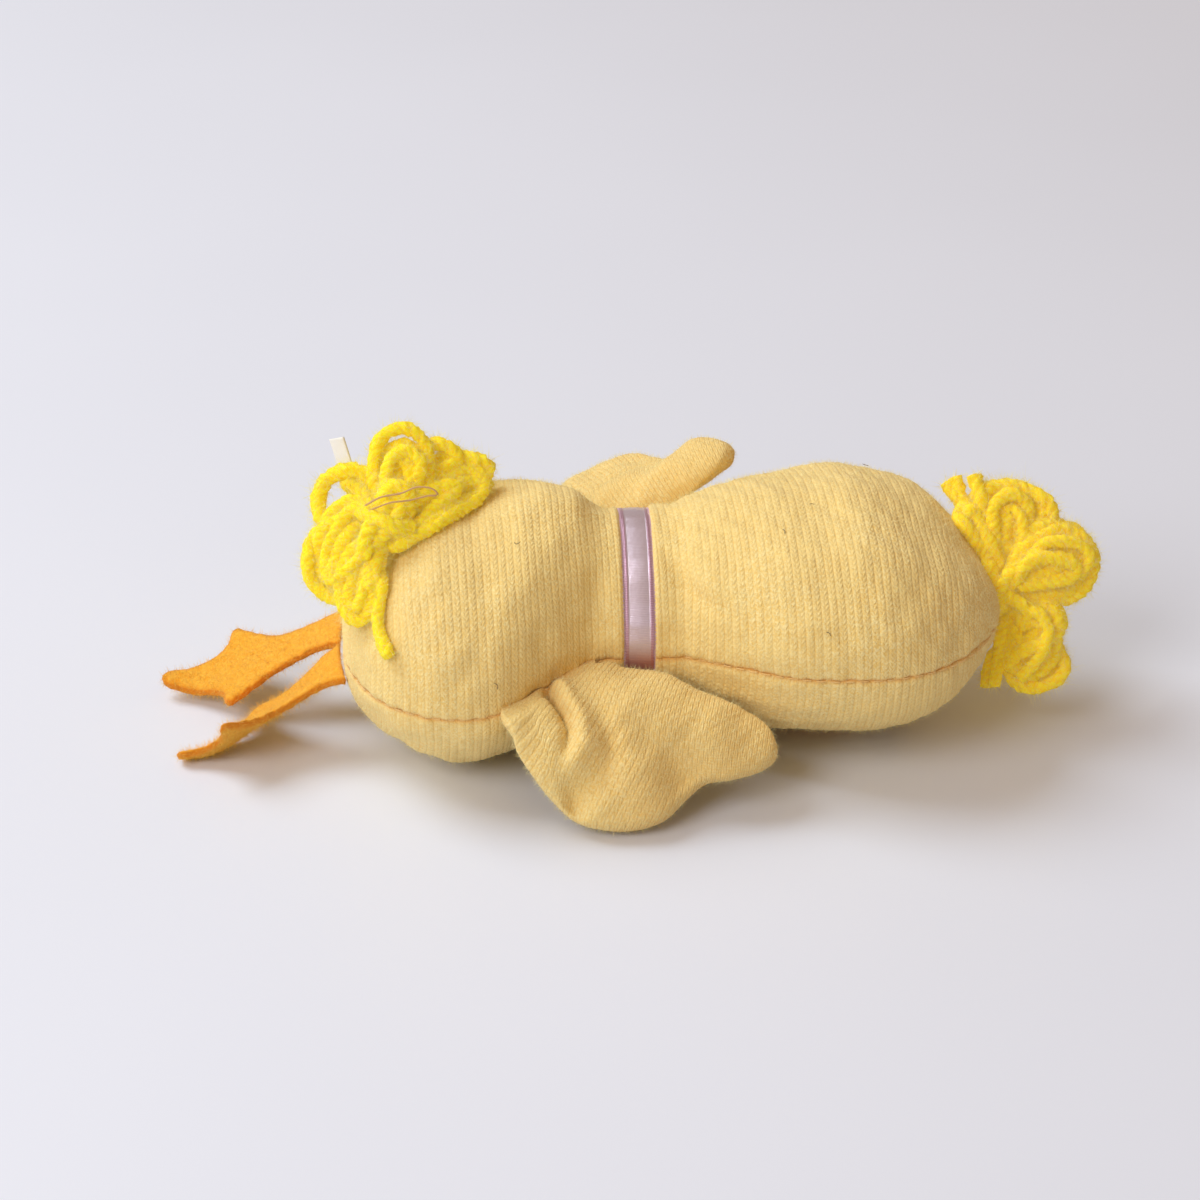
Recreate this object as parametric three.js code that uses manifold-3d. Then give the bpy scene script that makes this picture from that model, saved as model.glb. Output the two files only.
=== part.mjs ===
// Small plush chick lying face down: a knitted body and head, padded wings, felt feet and bill,
// loops of yarn on crown and tail, and a satin ribbon tied round the neck.
// Millimetres. +X runs from tail to crown, +Y to the chick's left, +Z up from the surface it lies on.

import * as THREE from 'three';
import { mergeVertices } from 'three/addons/utils/BufferGeometryUtils.js';
import Module from 'manifold-3d';

const wasm = await Module();
wasm.setup();

// Cloth, felt, yarn and the room between neighbours
const CLOTH = 0.9;
const FELT = 1.2;
const YARN = 2.0;
const GAP = 0.3;

// Body: half width, back above the side seam, belly below it, and lengths each way from the widest place
const BODY_HALF_WIDTH = 19.4;
const BODY_BACK = 14.6;
const BODY_BELLY = 11.5;
const BELLY_FLAT = 0.5;
const RUMP_LENGTH = 13.5;
const SHOULDER_LENGTH = 18;
const SHOULDER_HUMP = 1.2;

// Neck, drawn in by the ribbon
const NECK_RADIUS = 9.5;
const NECK_HEIGHT = 13;
const GATHER_LENGTH = 9;

// Head
const HEAD_HALF_WIDTH = 18.8;
const HEAD_BACK = 12.8;
const HEAD_FACE = 12.7;
const CHEEK_LENGTH = 22;
const CROWN_LENGTH = 16.8;

// Ribbon and its knot
const RIBBON_WIDTH = 3;
const RIBBON_THICKNESS = 0.35;
const KNOT_LENGTH = 4.6;
const KNOT_WIDTH = 3.6;
const KNOT_HEIGHT = 2.2;
const KNOT_TURN = 62;
const RIBBON_END = 9;

// Eyes and bill on the face, which is turned down
const EYE_RADIUS = 1.4;
const EYE_SPACING = 13;
const EYE_AHEAD = 5;
const BILL_WIDTH = 9;
const UPPER_BILL_LENGTH = 6.5;
const LOWER_BILL_LENGTH = 5;
const BILL_BEHIND = 2.5;

// Wings: where the root leaves the side seam, its stand-off, the padding and how far the left one is raised
const WING_BACK_X = 3.3;
const WING_FRONT_X = 13.5;
const WING_STANDOFF = 1.1;
const WING_PAD = 1;
const WING_CROWN = 1.6;
const WING_FOLD = 1.5;
const FOLD_AT = 0.27;
const FOLD_SPREAD = 0.07;
const LEFT_WING_LIFT = 55;

// Feet: sewn into the end of the rump. Each has its own yaw and roll in degrees, and cup and toe height.
const FOOT_LENGTH = 20.5;
const FOOT_SPREAD = 12;
const FOOT_WAIST = 5;
const FOOT_ROOT = 7.4;
const SIDE_TOE = 12.9;
const WEB = 13.1;
const TOE_ROUND = 0.9;
const FOOT_APART = 7.8;
const FOOT_ROOT_HEIGHT = 9.2;
const LEFT_FOOT = { yaw: 6, roll: 14, cup: 0.4, toeHeight: 1.2 };
const RIGHT_FOOT = { yaw: 16, roll: 4, cup: 2.2, toeHeight: 0.4 };

// Yarn tufts and the blank tape beside the tail
const TUFT_KNOT = 3;
const TAIL_X = -8.2;
const TAIL_Y = -1.5;
const TAPE_LENGTH = 11.4;
const TAPE_WIDTH = 3;
const TAPE_BEHIND = 3;
const TAPE_ASIDE = 7.5;
const TAPE_LEAN = [-25, -24];

// Places along the toy
const NECK_X = SHOULDER_LENGTH;
const HEAD_X = NECK_X + CHEEK_LENGTH;
const BODY_END = NECK_X - GATHER_LENGTH / 2;
const HEAD_START = NECK_X + GATHER_LENGTH / 2;
const BODY_SEAM = BODY_BELLY - BELLY_FLAT;
const HEAD_SEAM = HEAD_FACE + FELT + GAP;

const clamp = (t) => Math.min(1, Math.max(0, t));
const dome = (t, p, q) => Math.max(0, 1 - clamp(t) ** p) ** q;
const mix = (a, b, t) => a + (b - a) * t;
const span = (from, to, steps) => Array.from({ length: steps + 1 }, (_, i) => mix(from, to, i / steps));
const radians = THREE.MathUtils.degToRad;

// Half width, rise, drop and seam height of the skin at x, drawn in evenly by inset
function section(x, inset = 0) {
  const neck = NECK_RADIUS - inset;
  const body = [BODY_HALF_WIDTH - inset, BODY_BACK - inset, BODY_BELLY - inset];
  const head = [HEAD_HALF_WIDTH - inset, HEAD_BACK - inset, HEAD_FACE - inset];
  if (x < 0) {
    const t = -x / (RUMP_LENGTH - inset);
    return {
      width: body[0] * dome(t, 2.2, 0.45),
      rise: body[1] * dome(t, 2.4, 0.5),
      drop: body[2] * dome(t, 2.2, 0.45),
      seam: BODY_SEAM,
    };
  }
  if (x < NECK_X) {
    const t = x / NECK_X;
    return {
      width: mix(neck, body[0], Math.cos(Math.PI * t / 2) ** 2.4),
      rise: mix(neck, body[1], dome(t, 4, 1.4)) + SHOULDER_HUMP * Math.sin(Math.PI * t) ** 2,
      drop: mix(neck, body[2], dome(t, 2, 1)),
      seam: mix(BODY_SEAM, NECK_HEIGHT, t ** 1.5),
    };
  }
  if (x < HEAD_X) {
    const t = (x - NECK_X) / CHEEK_LENGTH;
    return {
      width: mix(neck, head[0], Math.sin(Math.PI * t / 2) ** 1.4),
      rise: mix(neck, head[1], dome(1 - t, 4, 1.4)),
      drop: mix(neck, head[2], dome(1 - t, 2, 1)),
      seam: mix(NECK_HEIGHT, HEAD_SEAM, t ** 0.8),
    };
  }
  const t = (x - HEAD_X) / (CROWN_LENGTH - inset);
  return {
    width: head[0] * dome(t, 2.3, 0.435),
    rise: head[1] * dome(t, 1.8, 0.62),
    drop: head[2] * dome(t, 2.2, 0.5),
    seam: HEAD_SEAM,
  };
}

// Point of the skin at x and angle round the girth, from the left side seam over the back
function skinPoint(x, angle, inset = 0, lift = 0) {
  const { width, rise, drop, seam } = section(x, inset);
  const half = Math.max(0, (Math.sin(angle) < 0 ? drop : rise) - Math.abs(lift));
  return [x, width * Math.cos(angle), seam + lift + half * Math.sin(angle)];
}

// Cross-sections along the body and the head, closer together towards their ends
const ROUND_STEPS = 7;
const NECKWARD_STEPS = 8;
const quarter = (i) => Math.PI / 2 * i / ROUND_STEPS;
const count = (steps, place) => Array.from({ length: steps }, (_, i) => place(i));
const bodyStations = (inset = 0) => [
  ...count(ROUND_STEPS, (i) => -(RUMP_LENGTH - inset) * Math.cos(quarter(i))),
  ...count(NECKWARD_STEPS + 1, (i) => BODY_END * i / NECKWARD_STEPS),
];
const headStations = (inset = 0) => [
  ...count(NECKWARD_STEPS, (i) => mix(HEAD_START, HEAD_X, i / NECKWARD_STEPS)),
  ...count(ROUND_STEPS + 1, (i) => HEAD_X + (CROWN_LENGTH - inset) * Math.sin(quarter(i))),
];

// One closed body from triangles of corner points, turned to face out
function closedBody(triangles) {
  const seen = new Map();
  const points = [];
  const index = (p) => {
    const key = p.map((c) => Math.round(c * 2000)).join();
    if (!seen.has(key)) {
      seen.set(key, points.length);
      points.push(p);
    }
    return seen.get(key);
  };
  const faces = triangles.map((t) => t.map(index)).filter(([a, b, c]) => a !== b && b !== c && c !== a);
  const corner = (i) => new THREE.Vector3(...points[i]);
  const volume = faces.reduce((sum, [a, b, c]) => sum + corner(a).dot(corner(b).cross(corner(c))), 0);
  const out = volume < 0 ? faces.map(([a, b, c]) => [a, c, b]) : faces;
  const geometry = new THREE.BufferGeometry();
  geometry.setAttribute('position', new THREE.Float32BufferAttribute(points.flat(), 3));
  geometry.setIndex(out.flat());
  return geometry;
}

const quad = (a, b, c, d) => [[a, b, c], [a, c, d]];
const strip = (a, b) => a.slice(1).flatMap((_, k) => quad(a[k], a[k + 1], b[k + 1], b[k]));
const skin = (grid) => grid.slice(1).flatMap((row, i) => strip(row, grid[i]));
const flipped = (triangles) => triangles.map(([a, b, c]) => [a, c, b]);
const column = (grid, j) => grid.map((row) => row.at(j));

// Wall between an outer and an inner grid of points, with its edges closed
function wall(outer, inner, wrapped = false) {
  const ends = [
    ...strip(inner[0], outer[0]),
    ...strip(outer.at(-1), inner.at(-1)),
  ];
  const sides = wrapped ? [] : [
    ...strip(column(outer, 0), column(inner, 0)),
    ...strip(column(inner, -1), column(outer, -1)),
  ];
  return closedBody([...skin(outer), ...flipped(skin(inner)), ...flipped(ends), ...flipped(sides)]);
}

// Solid through rings of points, with a fan over each end
function loft(rings) {
  const mean = (points, k) => points.reduce((sum, p) => sum + p[k], 0) / points.length;
  const middle = (ring) => [0, 1, 2].map((k) => mean(ring.slice(1), k));
  const fan = (ring) => ring.slice(1).map((_, k) => [ring[k], ring[k + 1], middle(ring)]);
  return closedBody([...skin(rings), ...fan(rings[0]), ...flipped(fan(rings.at(-1)))]);
}

const solidOf = (geometry) => {
  const bare = new THREE.BufferGeometry();
  bare.setAttribute('position', geometry.getAttribute('position').clone());
  if (geometry.index) bare.setIndex(geometry.index.clone());
  const merged = mergeVertices(bare, 1e-3);
  const faces = [];
  for (let i = 0; i < merged.index.count; i += 3) {
    const [a, b, c] = [0, 1, 2].map((k) => merged.index.getX(i + k));
    if (a !== b && b !== c && c !== a) faces.push(a, b, c);
  }
  return new wasm.Manifold(new wasm.Mesh({
    numProp: 3,
    vertProperties: new Float32Array(merged.getAttribute('position').array),
    triVerts: new Uint32Array(faces),
  }));
};

const geometryOf = (solid) => {
  const mesh = solid.getMesh();
  const geometry = new THREE.BufferGeometry();
  geometry.setAttribute('position', new THREE.BufferAttribute(mesh.vertProperties.slice(), 3));
  geometry.setIndex(new THREE.BufferAttribute(mesh.triVerts.slice(), 1));
  return geometry;
};

const chick = new THREE.Group();
chick.name = 'plush_chick';

function add(name, geometry, color, roughness = 0.95, metalness = 0) {
  const mesh = new THREE.Mesh(geometry, new THREE.MeshStandardMaterial({ color, roughness, metalness }));
  mesh.name = name;
  chick.add(mesh);
  return mesh;
}

const KNIT = 0xd9b56d;
const FIBRE = 0xf1efe9;
const ORANGE_FELT = 0xf3b43d;
const TAIL_YARN = 0xf0c41b;
const HAIR_YARN = 0xe3be2a;
const LILAC = 0xcfb8c5;
const BEAD_BLACK = 0x141210;
const CREAM = 0xe9e6dc;

// Body and head panels: half shells of knit cloth that meet along the side seams
const GIRTH_STEPS = 12;
const halfRing = (x, inset, side) => count(GIRTH_STEPS + 1, (j) =>
  skinPoint(x, side * Math.PI * j / GIRTH_STEPS, inset, side * GAP / 2));
const panel = (stations, side) => wall(
  stations(0).map((x) => halfRing(x, 0, side)),
  stations(CLOTH).map((x) => halfRing(x, CLOTH, side)),
);

const floorBlock = new THREE.BoxGeometry(4 * SHOULDER_LENGTH, 4 * BODY_HALF_WIDTH, 2 * BODY_BELLY)
  .translate(0, 0, -BODY_BELLY);
const bellyPanel = solidOf(panel(bodyStations, -1)).subtract(solidOf(floorBlock));

add('body_back_panel', panel(bodyStations, 1), KNIT);
add('body_front_panel', geometryOf(bellyPanel), KNIT);
add('head_back_panel', panel(headStations, 1), KNIT);
add('head_front_panel', panel(headStations, -1), KNIT);

// Stuffing: loose fibre that fills the skins
const FILLING_SIDES = 16;
const FILLING_INSET = CLOTH + GAP;
const fullRing = (x, inset, steps) =>
  count(steps + 1, (j) => skinPoint(x, 2 * Math.PI * (j % steps) / steps, inset));
const filling = (stations) => loft(stations.map((x) => fullRing(x, FILLING_INSET, FILLING_SIDES)));
add('body_filling', filling(bodyStations(FILLING_INSET)), FIBRE);
add('head_filling', filling(headStations(FILLING_INSET)), FIBRE);

// Neck: the gathered sleeve of knit between body and head, with its own plug of fibre
const gatherStations = span(BODY_END + GAP, HEAD_START - GAP, 6);
add('neck_gather', wall(
  gatherStations.map((x) => fullRing(x, 0, 2 * GIRTH_STEPS)),
  gatherStations.map((x) => fullRing(x, CLOTH, 2 * GIRTH_STEPS)),
  true,
), KNIT);
add('neck_filling', filling(gatherStations), FIBRE);

// Ribbon: a satin band round the gather, wide enough for the skin on both of its edges
function reach(x) {
  const { width, rise, drop, seam } = section(x);
  const off = seam - NECK_HEIGHT;
  return Math.max(width, rise + off, drop - off);
}
const ribbonInner = Math.max(reach(NECK_X - RIBBON_WIDTH / 2), reach(NECK_X + RIBBON_WIDTH / 2)) + GAP;
const ribbonOuter = ribbonInner + RIBBON_THICKNESS;
const bandProfile = [
  [ribbonInner, -RIBBON_WIDTH / 2], [ribbonOuter, -RIBBON_WIDTH / 2],
  [ribbonOuter, RIBBON_WIDTH / 2], [ribbonInner, RIBBON_WIDTH / 2], [ribbonInner, -RIBBON_WIDTH / 2],
].map((p) => new THREE.Vector2(...p));
const band = new THREE.LatheGeometry(bandProfile, 32).rotateZ(-Math.PI / 2).translate(NECK_X, 0, NECK_HEIGHT);
add('neck_ribbon', band, LILAC, 0.35);

// Knot at the left of the throat, with two short ends that fall to the floor beside it
const knotRadius = ribbonOuter + GAP + KNOT_HEIGHT / 2;
const knotTurn = radians(KNOT_TURN);
const knotAt = new THREE.Vector3(
  NECK_X,
  knotRadius * Math.sin(knotTurn),
  NECK_HEIGHT - knotRadius * Math.cos(knotTurn),
);
const knotBall = new THREE.SphereGeometry(1, 12, 8)
  .scale(KNOT_WIDTH / 2, KNOT_LENGTH / 2, KNOT_HEIGHT / 2)
  .rotateX(knotTurn)
  .translate(...knotAt.toArray());
const ribbonEnd = (side) => {
  const fall = knotAt.z - GAP - RIBBON_THICKNESS;
  const reached = Math.sqrt(Math.max(KNOT_HEIGHT ** 2, RIBBON_END ** 2 - fall ** 2));
  const face = (up) => span(0, 1, 6).map((t) => {
    const lean = Math.PI / 2 * t;
    const offset = up * RIBBON_THICKNESS / 2;
    const middle = knotAt.x + side * RIBBON_WIDTH * t;
    return [-RIBBON_WIDTH / 2, RIBBON_WIDTH / 2].map((across) => [
      middle + across,
      knotAt.y + reached * t ** 1.6 + offset * Math.cos(lean),
      knotAt.z - fall * Math.sin(lean) + offset * Math.sin(lean),
    ]);
  });
  return wall(face(1), face(-1));
};
const knot = solidOf(knotBall).add(solidOf(ribbonEnd(1))).add(solidOf(ribbonEnd(-1)));
add('ribbon_knot', geometryOf(knot), LILAC, 0.35);

// Room that body and head take up, which the smaller pieces on them are cut by
const roomOf = (stations) => solidOf(loft(stations.map((x) => fullRing(x, -GAP, 2 * GIRTH_STEPS))));
const bodyRoom = roomOf(bodyStations(-GAP));
const headRoom = roomOf(headStations(-GAP));

// Eyes: small domed beads sewn to the face
const eyeX = HEAD_X + EYE_AHEAD;
for (const [name, side] of [['left_eye', 1], ['right_eye', -1]]) {
  const { width, drop, seam } = section(eyeX);
  const down = drop * Math.sqrt(1 - (EYE_SPACING / 2 / width) ** 2);
  const bead = new THREE.SphereGeometry(EYE_RADIUS, 14, 10)
    .translate(eyeX, side * EYE_SPACING / 2, seam - down);
  add(name, geometryOf(solidOf(bead).subtract(headRoom)), BEAD_BLACK, 0.15);
}

// Bill: two felt halves sewn on across the face and pressed flat under it
const billX = HEAD_X - BILL_BEHIND;
function billHalf(length, side) {
  const outline = new THREE.Shape();
  outline.moveTo(0, -BILL_WIDTH / 2);
  outline.bezierCurveTo(length * 0.9, -BILL_WIDTH / 2, length, -BILL_WIDTH / 5, length, 0);
  outline.bezierCurveTo(length, BILL_WIDTH / 5, length * 0.9, BILL_WIDTH / 2, 0, BILL_WIDTH / 2);
  outline.closePath();
  const geometry = new THREE.ExtrudeGeometry(outline, { depth: FELT, bevelEnabled: false, curveSegments: 7 });
  if (side < 0) geometry.rotateZ(Math.PI);
  return geometry.translate(billX + side * GAP / 2, 0, 0);
}
add('upper_bill', billHalf(UPPER_BILL_LENGTH, 1), ORANGE_FELT);
add('lower_bill', billHalf(LOWER_BILL_LENGTH, -1), ORANGE_FELT);

// Wings: two layers of knit over a thin pad, sewn into the side seam along a straight root.
// The edge is given from the back of the root round to its front as [along, out, fraction of the way down].
const WING_EDGE = [
  [-6.3, 2.3, 0.2], [-5.4, 3.3, 0.48], [-4.4, 4.8, 0.75], [-3.3, 7.6, 0.93],
  [-0.6, 11.2, 1], [3.2, 13.3, 0.95], [6.7, 13.1, 0.82], [8.5, 13.4, 0.76],
  [11.2, 15.5, 0.74], [14, 16.9, 0.68], [15.7, 16.7, 0.62], [16.4, 15.2, 0.55],
  [15.5, 12.9, 0.46], [14, 10.4, 0.36], [12, 7, 0.25], [9.4, 4.3, 0.15],
];
const rootEnd = (x) => {
  const { width, seam } = section(x);
  return new THREE.Vector3(x, -width - WING_STANDOFF, seam);
};
const rootBack = rootEnd(WING_BACK_X);
const rootFront = rootEnd(WING_FRONT_X);
const rootHalf = rootBack.distanceTo(rootFront) / 2;
const rootMiddle = rootBack.clone().add(rootFront).multiplyScalar(0.5);
const alongRoot = rootFront.clone().sub(rootBack).normalize();
const outOfRoot = new THREE.Vector3(alongRoot.y, -alongRoot.x, 0).normalize();
const upFromRoot = new THREE.Vector3().crossVectors(outOfRoot, alongRoot).normalize();
const wingDrop = rootMiddle.z - GAP - CLOTH - GAP / 2;
const wingEdge = new THREE.CatmullRomCurve3([
  new THREE.Vector3(-rootHalf, 0, 0),
  ...WING_EDGE.map(([along, out, down]) => new THREE.Vector3(along, out, -down * wingDrop)),
  new THREE.Vector3(rootHalf, 0, 0),
], false, 'centripetal');

function wingMiddle(u, v) {
  const root = new THREE.Vector3(mix(-rootHalf, rootHalf, u), 0, 0);
  const point = root.lerp(wingEdge.getPoint(u), v);
  const crown = WING_CROWN * Math.sin(Math.PI * v) * Math.sin(Math.PI * u);
  const fold = WING_FOLD * Math.exp(-(((u - FOLD_AT) / FOLD_SPREAD) ** 2)) * Math.sin(Math.PI * v);
  point.z += crown - fold;
  return point;
}
function wingNormal(u, v) {
  const atEnd = u === 0 || u === 1;
  const [a, b] = [THREE.MathUtils.clamp(u, 0.03, 0.97), atEnd ? 0.5 : THREE.MathUtils.clamp(v, 0.05, 0.95)];
  const across = wingMiddle(a + 0.02, b).sub(wingMiddle(a - 0.02, b));
  const outward = wingMiddle(a, b + 0.03).sub(wingMiddle(a, b - 0.03));
  return new THREE.Vector3().crossVectors(across, outward).normalize();
}
const bulge = (t) => Math.sin(Math.PI * clamp(t)) ** 0.6;
const wingPuff = (u, v) => WING_PAD * bulge(u) * bulge(v);

function wingPlacer(side, lift) {
  const turn = new THREE.Matrix4().makeRotationX(radians(lift));
  const frame = new THREE.Matrix4()
    .makeBasis(alongRoot, outOfRoot, upFromRoot)
    .setPosition(rootMiddle);
  const mirror = new THREE.Matrix4().makeScale(1, side, 1);
  const place = mirror.multiply(frame).multiply(turn);
  return (u, v, offset) =>
    wingMiddle(u, v).addScaledVector(wingNormal(u, v), offset).applyMatrix4(place).toArray();
}
const PAD_MARGIN = 0.17;
const PAD_RIM = 0.3;
function addWing(name, side, lift) {
  const place = wingPlacer(side, lift);
  const grid = (across, out, offset) => across.map((u) => out.map((v) => place(u, v, offset(u, v))));
  const layer = (face) => wall(
    grid(span(0, 1, 24), span(0, 1, 5), (u, v) => face * (GAP / 2 + CLOTH + wingPuff(u, v))),
    grid(span(0, 1, 24), span(0, 1, 5), (u, v) => face * (GAP / 2 + wingPuff(u, v))),
  );
  add(`${name}_upper_layer`, geometryOf(solidOf(layer(1)).subtract(bodyRoom)), KNIT);
  add(`${name}_lower_layer`, geometryOf(solidOf(layer(-1)).subtract(bodyRoom)), KNIT);

  const rim = (t) => mix(PAD_RIM, 1, bulge((t - PAD_MARGIN) / (1 - 2 * PAD_MARGIN)));
  const half = (u, v) => Math.max(0, wingPuff(u, v) - GAP) * rim(u) * rim(v);
  const padding = (face) => grid(
    span(PAD_MARGIN, 1 - PAD_MARGIN, 14), span(PAD_MARGIN, 1 - PAD_MARGIN, 5), (u, v) => face * half(u, v));
  add(`${name}_padding`, wall(padding(1), padding(-1)), FIBRE);
}
addWing('right_wing', 1, 0);
addWing('left_wing', -1, LEFT_WING_LIFT);

// Feet: webbed felt with three toes, bent down to the floor
const footOutline = new THREE.Shape();
{
  const [root, waist, spread] = [FOOT_ROOT / 2, FOOT_WAIST / 2, FOOT_SPREAD / 2];
  const [corner, ankle, knuckle] = [SIDE_TOE - TOE_ROUND, 0.4 * SIDE_TOE, 0.62 * SIDE_TOE];
  const middleToe = FOOT_LENGTH - TOE_ROUND;
  footOutline.moveTo(0, -root);
  footOutline.bezierCurveTo(ankle / 2, -waist, ankle, -waist, knuckle, -waist - TOE_ROUND);
  footOutline.lineTo(corner, -spread);
  footOutline.quadraticCurveTo(SIDE_TOE, -spread, SIDE_TOE, TOE_ROUND - spread);
  footOutline.quadraticCurveTo(WEB, -waist, middleToe, -TOE_ROUND);
  footOutline.quadraticCurveTo(FOOT_LENGTH, 0, middleToe, TOE_ROUND);
  footOutline.quadraticCurveTo(WEB, waist, SIDE_TOE, spread - TOE_ROUND);
  footOutline.quadraticCurveTo(SIDE_TOE, spread, corner, spread);
  footOutline.lineTo(knuckle, waist + TOE_ROUND);
  footOutline.bezierCurveTo(ankle, waist, ankle / 2, waist, 0, root);
  footOutline.closePath();
}

// Where the rump's skin is crossed, going forward at y and z
function rumpAt(y, z) {
  let [outside, inside] = [-RUMP_LENGTH, 0];
  for (let k = 0; k < 30; k++) {
    const x = (outside + inside) / 2;
    const { width, drop, rise, seam } = section(x);
    const tall = z < seam ? drop : rise;
    if ((y / width) ** 2 + ((z - seam) / tall) ** 2 < 1) inside = x;
    else outside = x;
  }
  return inside;
}

const footStandoff = FELT / 2 + GAP;
function addFoot(name, side, { yaw, roll, cup, toeHeight }) {
  const sheet = { depth: FELT, bevelEnabled: false, curveSegments: 6 };
  const position = new THREE.ExtrudeGeometry(footOutline, sheet).getAttribute('position');
  const fall = FOOT_ROOT_HEIGHT - toeHeight - FELT / 2;
  const slope = Math.asin(fall / FOOT_LENGTH);
  const centre = FOOT_APART / 2;
  for (let i = 0; i < position.count; i++) {
    const [a, b, c] = [position.getX(i), position.getY(i), position.getZ(i)];
    const along = a * Math.cos(slope);
    const free = clamp(a / (FOOT_LENGTH * 0.6));
    const root = mix(rumpAt(centre + b, FOOT_ROOT_HEIGHT), rumpAt(centre, FOOT_ROOT_HEIGHT), free);
    const bend = fall * Math.sin(Math.PI / 2 * clamp(a / FOOT_LENGTH)) ** 1.1;
    const lean = free * (b * Math.sin(radians(roll)) + cup * (2 * b / FOOT_SPREAD) ** 2);
    position.setXYZ(
      i,
      root - footStandoff - along,
      side * (centre + b + along * Math.tan(radians(yaw))),
      FOOT_ROOT_HEIGHT - bend + lean + c - FELT / 2,
    );
  }
  const triangles = [];
  for (let i = 0; i < position.count; i += 3) {
    triangles.push([0, 1, 2].map((k) => [position.getX(i + k), position.getY(i + k), position.getZ(i + k)]));
  }
  add(name, closedBody(triangles), ORANGE_FELT);
}
addFoot('left_foot', 1, LEFT_FOOT);
addFoot('right_foot', -1, RIGHT_FOOT);

// Yarn tufts: each loop runs out of the knot and back to it. A loop is given as how far its top lies
// from the knot, its width, its turn about its own length in degrees, and how far it arches.
const TAIL_LOOPS = [
  [1.6, 1.2, 9.4, 4.6, 10, 0],
  [8, 3.2, 5.6, 4, 60, 1],
  [10.2, 1.6, 4.2, 3.2, 20, 1],
  [5.4, -0.8, 6.6, 4, 120, 0],
  [-4.4, 2.5, 6.6, 5.6, 80, 1],
  [-5.4, -2.4, 0.4, 5, 30, 2.5],
  [-6, 1.6, -3, 5.2, 100, 2.5],
  [-4.2, -3.6, -4.6, 4, 60, 2.4],
  [0.6, -12.4, -5.6, 2.2, 0, 1.8],
];
const HAIR_LOOPS = [
  [-5.6, 1.5, 12.2, 4, 80, 0],
  [-1.6, -1.2, 11.6, 4.4, 20, 0],
  [3.6, 2, 11, 5, 30, 0],
  [9.4, 1.5, 2.6, 5.4, 60, 1],
  [6.4, -3, -7, 4.6, 110, 2],
  [1.6, -3.4, -11, 3.6, 20, 0],
  [7.6, 3.5, 6.4, 5, 0, 0],
  [5.8, 5.6, -4, 4.4, 70, 1],
  [3, -5.8, 3.4, 4.4, 40, 1],
];
function yarnLoop(root, [x, y, z, width, turn, arch]) {
  const top = new THREE.Vector3(x, y, z);
  const side = new THREE.Vector3(-y, x, 0.01).normalize();
  side.applyAxisAngle(top.clone().normalize(), radians(turn));
  const rise = (t) => new THREE.Vector3(0, 0, 4 * arch * t * (1 - t));
  const at = (t, w) => root.clone().addScaledVector(top, t).addScaledVector(side, w * width / 2).add(rise(t));
  const path = [at(0, 0), at(0.45, 0.8), at(0.82, 0.9), at(1, 0), at(0.82, -0.9), at(0.45, -0.8)];
  const curve = new THREE.CatmullRomCurve3(path, true);
  return solidOf(new THREE.TubeGeometry(curve, 18, YARN / 2, 5, true));
}
function addTuft(name, root, loops, space, color) {
  const bundle = new THREE.SphereGeometry(TUFT_KNOT, 10, 7).translate(...root.toArray());
  const tuft = loops.reduce((sum, loop) => sum.add(yarnLoop(root, loop)), solidOf(bundle));
  add(name, geometryOf(tuft.subtract(space)), color);
}
const onBack = (x, y, standoff) => {
  const { width, rise, seam } = section(x);
  return new THREE.Vector3(x, y, seam + rise * Math.sqrt(1 - (y / width) ** 2) + standoff);
};
addTuft('tail_tuft', onBack(TAIL_X, TAIL_Y, YARN / 2), TAIL_LOOPS, bodyRoom, TAIL_YARN);
const crown = new THREE.Vector3(HEAD_X + CROWN_LENGTH + YARN / 2, 0, HEAD_SEAM);
addTuft('hair_tuft', crown, HAIR_LOOPS, headRoom, HAIR_YARN);

// Blank tape sewn in beside the tail
const [tapeRoll, tapePitch] = TAPE_LEAN.map(radians);
const tapeRoot = onBack(TAIL_X - TAPE_BEHIND, TAIL_Y + TAPE_ASIDE, GAP + RIBBON_THICKNESS);
const tape = new THREE.BoxGeometry(RIBBON_THICKNESS, TAPE_WIDTH, TAPE_LENGTH)
  .translate(0, 0, TAPE_LENGTH / 2)
  .rotateX(tapeRoll)
  .rotateY(tapePitch)
  .translate(...tapeRoot.toArray());
add('tail_tape', geometryOf(solidOf(tape).subtract(bodyRoom)), CREAM, 0.5);

export default chick;
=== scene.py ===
"""Small plush chick lying face down. Lengths are in millimetres until a mesh is made from them."""

import math

import bpy
import numpy as np
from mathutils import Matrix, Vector, geometry


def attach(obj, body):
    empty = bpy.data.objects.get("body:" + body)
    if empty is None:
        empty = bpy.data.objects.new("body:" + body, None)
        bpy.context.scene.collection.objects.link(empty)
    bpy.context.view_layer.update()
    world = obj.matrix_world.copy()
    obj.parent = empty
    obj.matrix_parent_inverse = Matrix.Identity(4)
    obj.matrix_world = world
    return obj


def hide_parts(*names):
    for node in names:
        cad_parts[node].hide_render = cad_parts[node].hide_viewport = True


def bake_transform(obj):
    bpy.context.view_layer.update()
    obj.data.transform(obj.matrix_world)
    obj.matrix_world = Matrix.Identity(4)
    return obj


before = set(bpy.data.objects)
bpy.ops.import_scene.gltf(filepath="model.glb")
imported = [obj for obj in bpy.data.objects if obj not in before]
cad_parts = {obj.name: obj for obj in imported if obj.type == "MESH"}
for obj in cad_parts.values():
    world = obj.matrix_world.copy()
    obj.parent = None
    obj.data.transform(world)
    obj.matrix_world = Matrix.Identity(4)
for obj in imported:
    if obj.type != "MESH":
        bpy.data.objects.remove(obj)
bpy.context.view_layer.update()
MM = 0.001


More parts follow.
